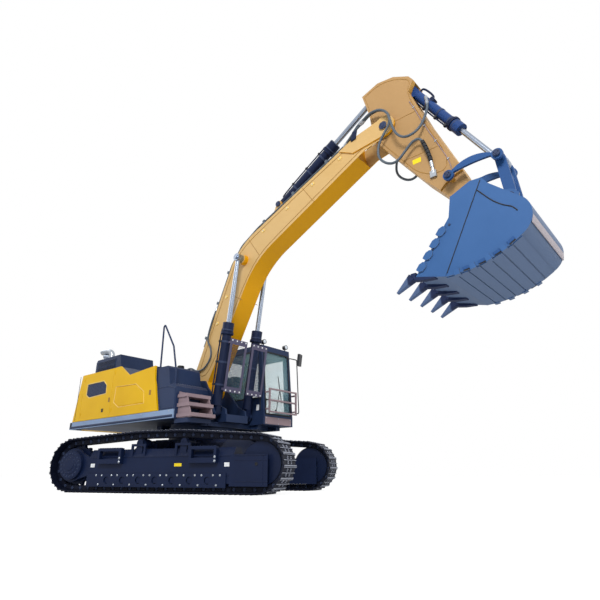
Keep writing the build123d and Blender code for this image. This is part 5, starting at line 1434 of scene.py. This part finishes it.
@dataclass(frozen=True)
class Ram:
    """Fittings of one kind of cylinder: bands with knobs, pipes and the gland's bolts."""

    body: str
    base: Flat
    eye: Flat
    lanes: tuple[float, ...]
    radius: float
    length: float
    gland: float = 0.200
    pipe_side: float = 1.0
    bands: tuple[float, ...] = (0.30, 0.55, 0.78)
    pipe_turn: float = 0.6
    return_pipe: bool = False

    def collar(self, steps: Sequence[Flat], corners: int) -> Shape:
        """Ring round the barrel from heights and how far it stands off the barrel there."""
        return lathe([(height, self.radius + stand) for height, stand in steps], corners)

    def return_line(self, base: np.ndarray, run: np.ndarray, away: np.ndarray) -> None:
        """Pipe that stands off the barrel near its base, with a port block at its far end.

        Args:
            base: the cylinder's own base.
            run: the way along it.
            away: the way out of it, on the far side from the feed pipe.
        """
        foot, stand, first, last = self.radius * 0.95, self.radius + 0.085, 0.16, 0.56
        path = [base + run * along + away * lift
                for along, lift in ((first, foot), (first, stand), (last, stand), (last, foot))]
        emit(f"{self.body}_return_pipe", tube(rounded(path), 0.020, 14), "navy_paint", self.body)
        ports = block(0.130, 0.110, 0.085, 0.010).copied(
            [base + run * (last + 0.04) + away * (self.radius - 0.040)], axes_of(away, run))
        emit(f"{self.body}_port_block", ports, "navy_paint", self.body)

    def build(self) -> None:
        """Makes the cylinder's fittings in the frame of its own axis."""
        run = unit(at_y(self.eye, 0.0) - at_y(self.base, 0.0))
        out = np.array([-run[2], 0.0, run[0]]) * self.pipe_side
        axes = axes_of(run, (0.0, 1.0, 0.0))
        ring = self.collar([(-0.022, -0.004), (-0.022, 0.007), (0.022, 0.007), (0.022, -0.004)], 36)
        lip = self.collar([(0.0, 0.0245), (0.012, 0.0275), (0.024, 0.0245)], 36)
        flange = self.collar([(-0.030, -0.004), (-0.030, 0.036), (-0.024, 0.042), (0.024, 0.042),
                              (0.030, 0.036), (0.030, -0.004)], 40)
        angle = turn_angles(10)[:, None]
        rim = (self.radius - 0.004) * (np.cos(angle) * axes[0] + np.sin(angle) * axes[1])
        bands, pipes, bolts, blocks, flanges = [], [], [], [], []
        for y in self.lanes:
            base = at_y(self.base, y)
            bands.append(ring.copied([base + run * (share * self.length) for share in self.bands], axes))
            way = -1.0 if y <= 0 else 1.0
            lift = out * cos(self.pipe_turn) + np.array([0.0, way * sin(self.pipe_turn), 0.0])
            lane = base + lift * (self.radius + 0.036)
            foot = base + lift * self.radius * 0.98
            first, last = 0.18, self.length - self.gland + 0.06
            path = [foot + run * first, lane + run * first, lane + run * last, foot + run * last]
            pipes.append(tube(rounded(path, 4), 0.015, 12))
            spots = [lane + run * (share * self.length) - lift * 0.034 for share in self.bands]
            blocks.append(block(0.056, 0.050, 0.055, 0.006).copied(spots, axes_of(lift, run)))
            heads = [spot + lift * 0.054 for spot in spots]
            blocks.append(bolt(0.011, 0.010).copied(heads, axes_of(lift, run)))
            bolts.append(bolt(0.011, 0.012).copied(base + run * (self.length - 0.001) + rim, axes))
            bands.append(lip.copied([base + run * (self.length - self.gland + 0.02)], axes))
            flanges.append(flange.copied([base + run * (self.length - self.gland - 0.04)], axes))
            if self.return_pipe:
                self.return_line(base, run, -out)
        for kind, shapes, finish in (("bands", bands, "lip_steel"), ("flanges", flanges, "navy_paint"),
                                     ("pipes", pipes, "navy_paint"), ("clamps", blocks, "seal"),
                                     ("gland_bolts", bolts, "lip_steel")):
            emit(f"{self.body}_{kind}", shapes, finish, self.body)


RAMS = (
    Ram("boom_barrels", (0.970, 1.640), (1.500, 5.190), (-0.460, 0.460), 0.105, 2.000, pipe_turn=1.1),
    Ram("arm_barrel", (2.450, 6.430), (5.050, 7.990), (0.0,), 0.110, 1.900, pipe_turn=0.5),
    Ram("bucket_barrel", (6.030, 7.700), (7.510, 5.270), (0.0,), 0.095, 1.640, pipe_side=-1.0, pipe_turn=0.35,
        bands=(0.36, 0.60, 0.80), return_pipe=True),
)


@dataclass(frozen=True)
class Beam:
    """Welds of a box beam: its half width, the outline of its side plates and the seams across them; the beads'
    dark brown is painted shade in the grooves.
    """

    body: str
    half: float
    bead: float
    outline: Outline
    seams: tuple[tuple[Flat, Flat], ...]

    def build(self) -> None:
        """Makes the bead along the edges of both side plates, and a thinner one along each seam, both in a dark
        brown that is painted shade.
        """
        path = rounded([*self.outline, self.outline[0]], 2)
        ways = both(self.half)
        beads = [tube(at_y(path, y), self.bead, 6) for y in ways]
        # The beads' dark brown is painted shade in the grooves along the plate edges and seams
        emit(f"{self.body}_welds", beads, "yellow_shade", self.body)
        cross = [line_tube(at_y(first, y), at_y(last, y), self.bead - 0.001, 8)
                 for y in ways for first, last in self.seams]
        emit(f"{self.body}_cross_welds", cross, "yellow_shade", self.body)


@dataclass
class Boom:
    """Weld seams, pads, clamps and guards' mesh of the boom."""

    beam: Beam = Beam(
        "boom", 0.250, 0.008,
        ((0.16, 2.56), (0.02, 2.66), (1.05, 4.98), (1.22, 5.32), (1.42, 5.53), (1.90, 5.80), (4.62, 6.95),
         (5.10, 7.05), (5.00, 6.75), (4.90, 6.71), (2.44, 5.47), (2.10, 5.27), (1.82, 5.03), (1.46, 4.52),
         (0.42, 2.60)),
        (((1.02, 4.44), (1.46, 4.20)), ((1.62, 5.70), (1.97, 5.20)), ((3.30, 6.45), (3.62, 5.98))))
    pad_spots: Outline = (
        (2.10, 5.78), (2.85, 6.10), (3.60, 6.42), (4.35, 6.74), (0.62, 3.78), (0.90, 4.40))
    wire: float = 0.0032

    def pads(self) -> None:
        """Small weld-on pads with a bolt on each side plate, the pads in a pale yellow that is painted
        highlight.
        """
        for way, label in SIDES:
            axes = axes_of((0.0, way, 0.0), (-0.38, 0.0, 0.92))
            for kind, shape, stand, finish in (("pads", block(0.090, 0.060, 0.016), 0.0, "pale_edge"),
                                               ("pad_bolts", bolt(0.012, 0.010), 0.015, "fitting")):
                rows = at_y(self.pad_spots, way * (self.beam.half + stand))
                emit(f"boom_{kind}_{label}", shape.copied(rows, axes), finish, "boom")

    def guard_mesh(self) -> None:
        """Woven mesh inside each cylinder guard, and white-headed bolts on its top and bottom plates."""
        foot, eye = at_y(RAMS[0].base, 0.0), at_y(RAMS[0].eye, 0.0)
        run = unit(eye - foot)
        out = np.array([run[2], 0.0, -run[0]])
        middle = foot + out * 0.306
        wires, bolts = [], []
        for way, _ in SIDES:
            low, high = sorted((way * 0.140, way * 0.520))
            lines = [((0.56, y), (1.51, y)) for y in np.linspace(low, high, 12)[1:-1]]
            lines += [((at, low), (at, high)) for at in np.linspace(0.57, 1.50, 28)]
            for ends in lines:
                first, last = (middle + run * at + np.array([0.0, y, 0.0]) for at, y in ends)
                wires.append(line_tube(first, last, self.wire, 3, 5))
            spots = [middle + run * at + out * 0.006 + np.array([0.0, y, 0.0]) for at in (0.485, 1.585)
                     for y in np.linspace(way * 0.13, way * 0.53, 4)]
            bolts.append(bolt(0.014, 0.012).copied(spots, axes_of(out, run)))
        emit("guard_mesh", wires, "slate_paint", "boom_barrels")
        emit("guard_bolts", bolts, "blank_white", "boom_barrels")

    def line_clamps(self) -> None:
        """Bolted caps over the steel lines along the boom's back."""
        caps, bolts = [], []
        runs = (((-0.120, 2.620), (1.050, 5.200), (0.9, 1.8, 2.6)),
                ((1.850, 5.870), (4.600, 7.030), (0.25, 1.25, 2.3)))
        for start, end, places in runs:
            first = at_y(start, 0.0)
            run = unit(at_y(end, 0.0) - first)
            out = np.array([-run[2], 0.0, run[0]])
            axes = axes_of(out, run)
            for y in both(0.1775):
                spots = [first + run * (at + 0.035) + out * 0.108 + np.array([0.0, y, 0.0]) for at in places]
                caps.append(block(0.125, 0.055, 0.010, 0.003).copied(spots, axes))
                bolts.append(bolt(0.010, 0.011).copied([spot + out * 0.009 for spot in spots], axes))
        emit("line_clamp_caps", caps, "fitting", "boom")
        emit("line_clamp_bolts", bolts, "seal", "boom")

    def build(self) -> None:
        """Makes the boom's fittings."""
        self.beam.build()
        self.pads()
        self.guard_mesh()
        self.line_clamps()


@dataclass
class Arm:
    """Weld seams, grease pipe with its clips, and blank plates of the arm."""

    beam: Beam = Beam(
        "arm", 0.210, 0.007,
        ((5.02, 8.01), (5.36, 8.13), (5.69, 8.07), (6.00, 7.90), (6.09, 7.78), (5.98, 7.55), (6.25, 6.76),
         (6.76, 5.46), (6.16, 5.50), (5.68, 6.19), (5.24, 6.83), (5.16, 7.50)),
        (((5.17, 7.02), (6.17, 7.02)), ((5.78, 6.02), (6.55, 6.02))))
    pipe: Outline = (
        (6.03, 7.30), (6.10, 7.14), (6.29, 6.58), (6.46, 6.16), (6.66, 5.66), (6.70, 5.42))
    clips: Outline = ((6.105, 7.125), (6.285, 6.595), (6.465, 6.150), (6.655, 5.670))

    def grease_pipe(self) -> None:
        """Thin pipe down the front edge of the arm in small clips."""
        pipe = tube(rounded(at_y(self.pipe, -0.218)), 0.008, 8)
        emit("arm_grease_pipe", pipe, "rose_steel", "arm")
        axes = axes_of((0.0, -1.0, 0.0), (-0.38, 0.0, 0.92))
        clips = block(0.050, 0.024, 0.018).copied(at_y(self.clips, -0.211), axes)
        emit("arm_pipe_clips", clips, "fitting", "arm")

    def plates(self) -> None:
        """Blank yellow plate on each side."""
        for way, label in SIDES:
            blank = block(0.17, 0.10, 0.003, 0.001, (6.06, 5.90))
            blank = Side.of(way).lay(blank, (0.0, way * self.beam.half, 0.0))
            emit(f"arm_blank_plate_{label}", blank, "blank_yellow", "arm")

    def build(self) -> None:
        """Makes the arm's fittings."""
        self.beam.build()
        self.grease_pipe()
        self.plates()


@dataclass
class Bucket:
    """Side seams, heel tabs, cutter bolts and crest band of the bucket."""

    half: float = 0.857
    stand: float = 0.0005
    crest: tuple[float, float, float] = (7.965, 0.9, 3.80)

    def back(self, z: np.ndarray, inside: float = 0.0) -> np.ndarray:
        """Place of the upper back at a height, a parabola that is furthest back at the crest."""
        furthest, bend, top = self.crest
        return furthest - inside - bend * (z - top) ** 2

    def seams(self) -> None:
        """Dark diagonal seam and curved seam on each side plate."""
        lines = (np.linspace((7.33, 4.60), (6.65, 3.24), 16),
                 rounded([(7.27, 4.44), (7.46, 4.18), (7.61, 4.05), (7.72, 3.99), (7.78, 3.90)]))
        parts = [tube(at_y(line, way * self.half), 0.010, 6)
                 for way, _ in SIDES for line in lines]
        emit("bucket_seams", parts, "seal", "bucket")

    def crest_trim(self) -> None:
        """Pale band across the upper back, with two dark curved cuts in it.

        Each cut falls by a smooth step over its length and sways across by a sine.
        """
        z, y = np.meshgrid(np.linspace(3.66, 4.04, 13), np.linspace(-0.845, 0.845, 3))
        skin = np.stack([self.back(z), y, z], axis=2)
        band = rings(np.concatenate([skin, skin[:, ::-1] - (0.012, 0.0, 0.0)], axis=1))
        emit("bucket_crest_band", band, "crest_grey", "bucket")
        share = np.linspace(0.0, 1.0, 24)
        z = 4.03 - 0.20 * (3.0 * share ** 2 - 2.0 * share ** 3)
        sway = 0.50 * share + 0.05 * np.sin(2 * pi * share)
        cuts = [tube(rows_of(self.back(z, 0.002), start + sway, z), 0.007, 6) for start in (-0.78, -0.20)]
        emit("bucket_crest_cuts", cuts, "seal", "bucket")

    def wear_tabs(self) -> None:
        """Tabs that hold the heel shrouds on the side plates, each above a dark slot."""
        places = np.array([(7.627, 3.475), (7.421, 3.365), (7.192, 3.290), (6.957, 3.250)])
        slants = np.array([(0.84, 0.54), (0.92, 0.39), (0.97, 0.24), (0.99, 0.12)])
        below = np.column_stack([slants[:, 1], -slants[:, 0]]) * 0.034
        rows_by_kind = (("tabs", block(0.120, 0.050, 0.012, 0.003), places, "blue_paint"),
                        ("slots", block(0.105, 0.020, 0.004, 0.001), places + below, "seal"))
        for way, label in SIDES:
            frames = np.array([((x, 0.0, z), (-z * way, 0.0, x * way), (0.0, way, 0.0)) for x, z in slants])
            for kind, shape, spots, finish in rows_by_kind:
                rows = at_y(spots, way * (self.half + self.stand))
                emit(f"bucket_{kind}_{label}", shape.copied(rows, frames).outward(), finish, "bucket")

    def side_bolts(self) -> None:
        """Bolts of the side cutters along each side plate's front edge."""
        line = np.linspace((6.27, 3.48), (6.78, 4.02), 6)
        for way, label in SIDES:
            rows = at_y(line, way * (self.half + self.stand))
            heads = bolt(0.022, 0.020).copied(rows, facing(way))
            emit(f"side_cutter_bolts_{label}", heads, "lip_steel", "bucket")

    def build(self) -> None:
        """Makes the bucket's fittings."""
        self.seams()
        self.crest_trim()
        self.wear_tabs()
        self.side_bolts()


# Hoses
@dataclass(frozen=True)
class Hose:
    """Free hose between two moving bodies, by the points of its spline in the upper structure's frame."""

    name: str
    joins: tuple[str, str]
    points: tuple[Point, ...]
    diameter: float = 0.050


ARM_LOOP = ((4.46, 0.205, 7.045), (4.62, 0.250, 7.125), (4.82, 0.290, 7.240), (5.06, 0.300, 7.340),
            (5.21, 0.320, 7.400), (5.44, 0.350, 7.360), (5.62, 0.360, 7.180), (5.66, 0.360, 6.950),
            (5.55, 0.360, 6.780), (5.43, 0.360, 6.640), (5.35, 0.360, 6.480), (5.34, 0.360, 6.220),
            (5.52, 0.360, 6.000), (5.73, 0.360, 5.940), (5.94, 0.350, 6.140), (6.08, 0.340, 6.270),
            (6.22, 0.320, 6.270), (6.28, 0.300, 6.110), (6.34, 0.275, 5.860), (6.36, 0.245, 5.660),
            (6.365, 0.233, 5.520))
HOSES = (
    Hose("arm_hose_right", ("boom", "arm"), tuple((x, -y, z) for x, y, z in ARM_LOOP)),
    Hose("arm_hose_left", ("boom", "arm"), ARM_LOOP),
    Hose("bucket_hose", ("boom", "arm"),
         ((4.46, -0.150, 7.045), (4.62, -0.220, 7.150), (4.84, -0.300, 7.280), (5.06, -0.340, 7.340),
          (5.22, -0.390, 7.360), (5.46, -0.410, 7.320), (5.64, -0.415, 7.140), (5.69, -0.415, 6.860),
          (5.76, -0.410, 6.580), (5.90, -0.400, 6.400), (6.08, -0.390, 6.370), (6.25, -0.350, 6.480),
          (6.34, -0.270, 6.740), (6.37, -0.180, 7.000), (6.35, -0.130, 7.180), (6.33, -0.105, 7.295))),
    Hose("boom_foot_hose", ("boom", "house"),
         ((0.520, -0.205, 4.205), (0.490, -0.250, 4.060), (0.420, -0.280, 3.800), (0.340, -0.285, 3.540),
          (0.330, -0.285, 3.380), (0.470, -0.290, 3.220), (0.510, -0.290, 3.000), (0.400, -0.290, 2.830),
          (0.220, -0.290, 2.700), (0.000, -0.300, 2.690), (-0.160, -0.340, 2.790), (-0.240, -0.420, 2.740),
          (-0.250, -0.440, 2.615)), diameter=0.042),
)


def hose_line(hose: Hose) -> np.ndarray:
    """Points along a hose's NURBS spline in the upper structure's frame.

    Args:
        hose: the hose.

    Returns:
        The points, one row each.
    """
    curve = bpy.data.curves.new(f"{hose.name}_line", "CURVE")
    curve.dimensions = "3D"
    spline = curve.splines.new("NURBS")
    spline.points.add(len(hose.points) - 1)
    spline.points.foreach_set("co", np.insert(np.array(hose.points), 3, 1.0, axis=1).ravel())
    spline.order_u = 3
    spline.use_endpoint_u = True
    spline.resolution_u = 10
    holder = bpy.data.objects.new(f"{hose.name}_line", curve)
    mesh = bpy.data.meshes.new_from_object(holder)
    line = np.empty(3 * len(mesh.vertices))
    mesh.vertices.foreach_get("co", line)
    bpy.data.objects.remove(holder)
    return line.reshape(-1, 3)


class Run:
    """Line of a hose with the distance along it, to set fittings on."""

    def __init__(self, line: np.ndarray) -> None:
        """Measures the line.

        Args:
            line: its points, one row each.
        """
        self.line = line
        self.reach = reach_along(line)
        self.length = float(self.reach[-1])

    def at(self, distance: float) -> np.ndarray:
        """Point at a distance from the start."""
        return np.array([np.interp(distance, self.reach, self.line[:, axis]) for axis in range(3)])

    def set_on(self, shape: Shape, distance: float, way: float = 1.0) -> Shape:
        """Copy of a shape on the line, its own w along it.

        Args:
            shape: the fitting.
            distance: how far along it stands.
            way: 1 to look ahead, -1 to look back.

        Returns:
            The copy.
        """
        ahead = (self.at(distance + 0.01) - self.at(distance - 0.01)) * way
        return shape.copied([self.at(distance)], axes_of(ahead, (0.0, 1.0, 0.0)))


def build_hoses() -> None:
    """Makes each free hose, its ringed sleeve and the fitting at each end."""
    collar = lathe([(-0.060, 0.026), (-0.056, 0.033), (-0.020, 0.033), (-0.018, 0.037), (0.010, 0.037),
                    (0.014, 0.031), (0.060, 0.031), (0.062, 0.0262)], 20)
    ring = lathe([(-0.034, 0.0262), (-0.030, 0.040), (0.030, 0.040), (0.034, 0.0262)], 18)
    for hose in HOSES:
        run = Run(hose_line(hose))
        piece = emit(hose.name, tube(run.line, hose.diameter / 2, 16), "hose", None)
        path = run.line + np.array([SWING_X, 0.0, 0.0])
        path[0].tolist()
        path[-1].tolist()
        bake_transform(piece)
        path[0].tolist()
        LOG.info("%s: %.3f m long", hose.name, run.length)
        first, last = hose.joins
        starts = [0.02, 0.60] if last == "arm" else [0.02]
        ends = [run.length - back for back in ([0.02, 0.15] if last == "arm" else [0.02])]
        emit(f"{hose.name}_collars_{first}", [run.set_on(collar, at) for at in starts], "fitting", first)
        emit(f"{hose.name}_collars_{last}", [run.set_on(collar, at, -1.0) for at in ends], "fitting", last)
        if hose.name.startswith("arm_hose"):
            sleeve = [run.set_on(ring, run.length - back) for back in np.linspace(0.26, 0.66, 6)]
            emit(f"{hose.name}_sleeve", sleeve, "seal", "arm")


def hose_brackets() -> None:
    """Brackets on the boom and the arm that take the ends of the hoses."""
    ears = (("boom", [(4.68, 6.98), (4.80, 7.00), (4.84, 7.20), (4.73, 7.20)], 0.030, 0.004, 0.2855,
             "navy_paint"),
            ("arm", [(6.30, 5.40), (6.42, 5.40), (6.42, 5.53), (6.30, 5.53)], 0.050, 0.006, 0.2105,
             "fitting"))
    for way, label in SIDES:
        for body, outline, depth, bevel, across, finish in ears:
            ear = Side.of(way).lay(plate(outline, depth, bevel), (0.0, way * across, 0.0))
            emit(f"hose_bracket_{body}_{label}", ear, finish, body)


# Dressing
def dress_frame() -> None:
    """Gives every CAD node the finish of its material slot."""
    slots = {part["node"]: part["material_slot"] for part in frame["record"]["subparts"]}
    for name, node in frame["nodes"].items():
        node.data.materials.clear()
        node.data.materials.append(FINISH[NODE_FINISH.get(name, slots[name])])


def main() -> None:
    """Builds every piece in order."""
    logging.basicConfig(level=logging.INFO, format="%(message)s")
    Studio().build()
    build_hoses()
    hose_brackets()
    for assembly in (Tracks(), TrackFrames(), Doors(), HouseTrim(), Cab(), *RAMS, Boom(), Arm(), Bucket()):
        assembly.build()
    pin_caps()
    dress_frame()


if __name__ == "__main__":
    main()
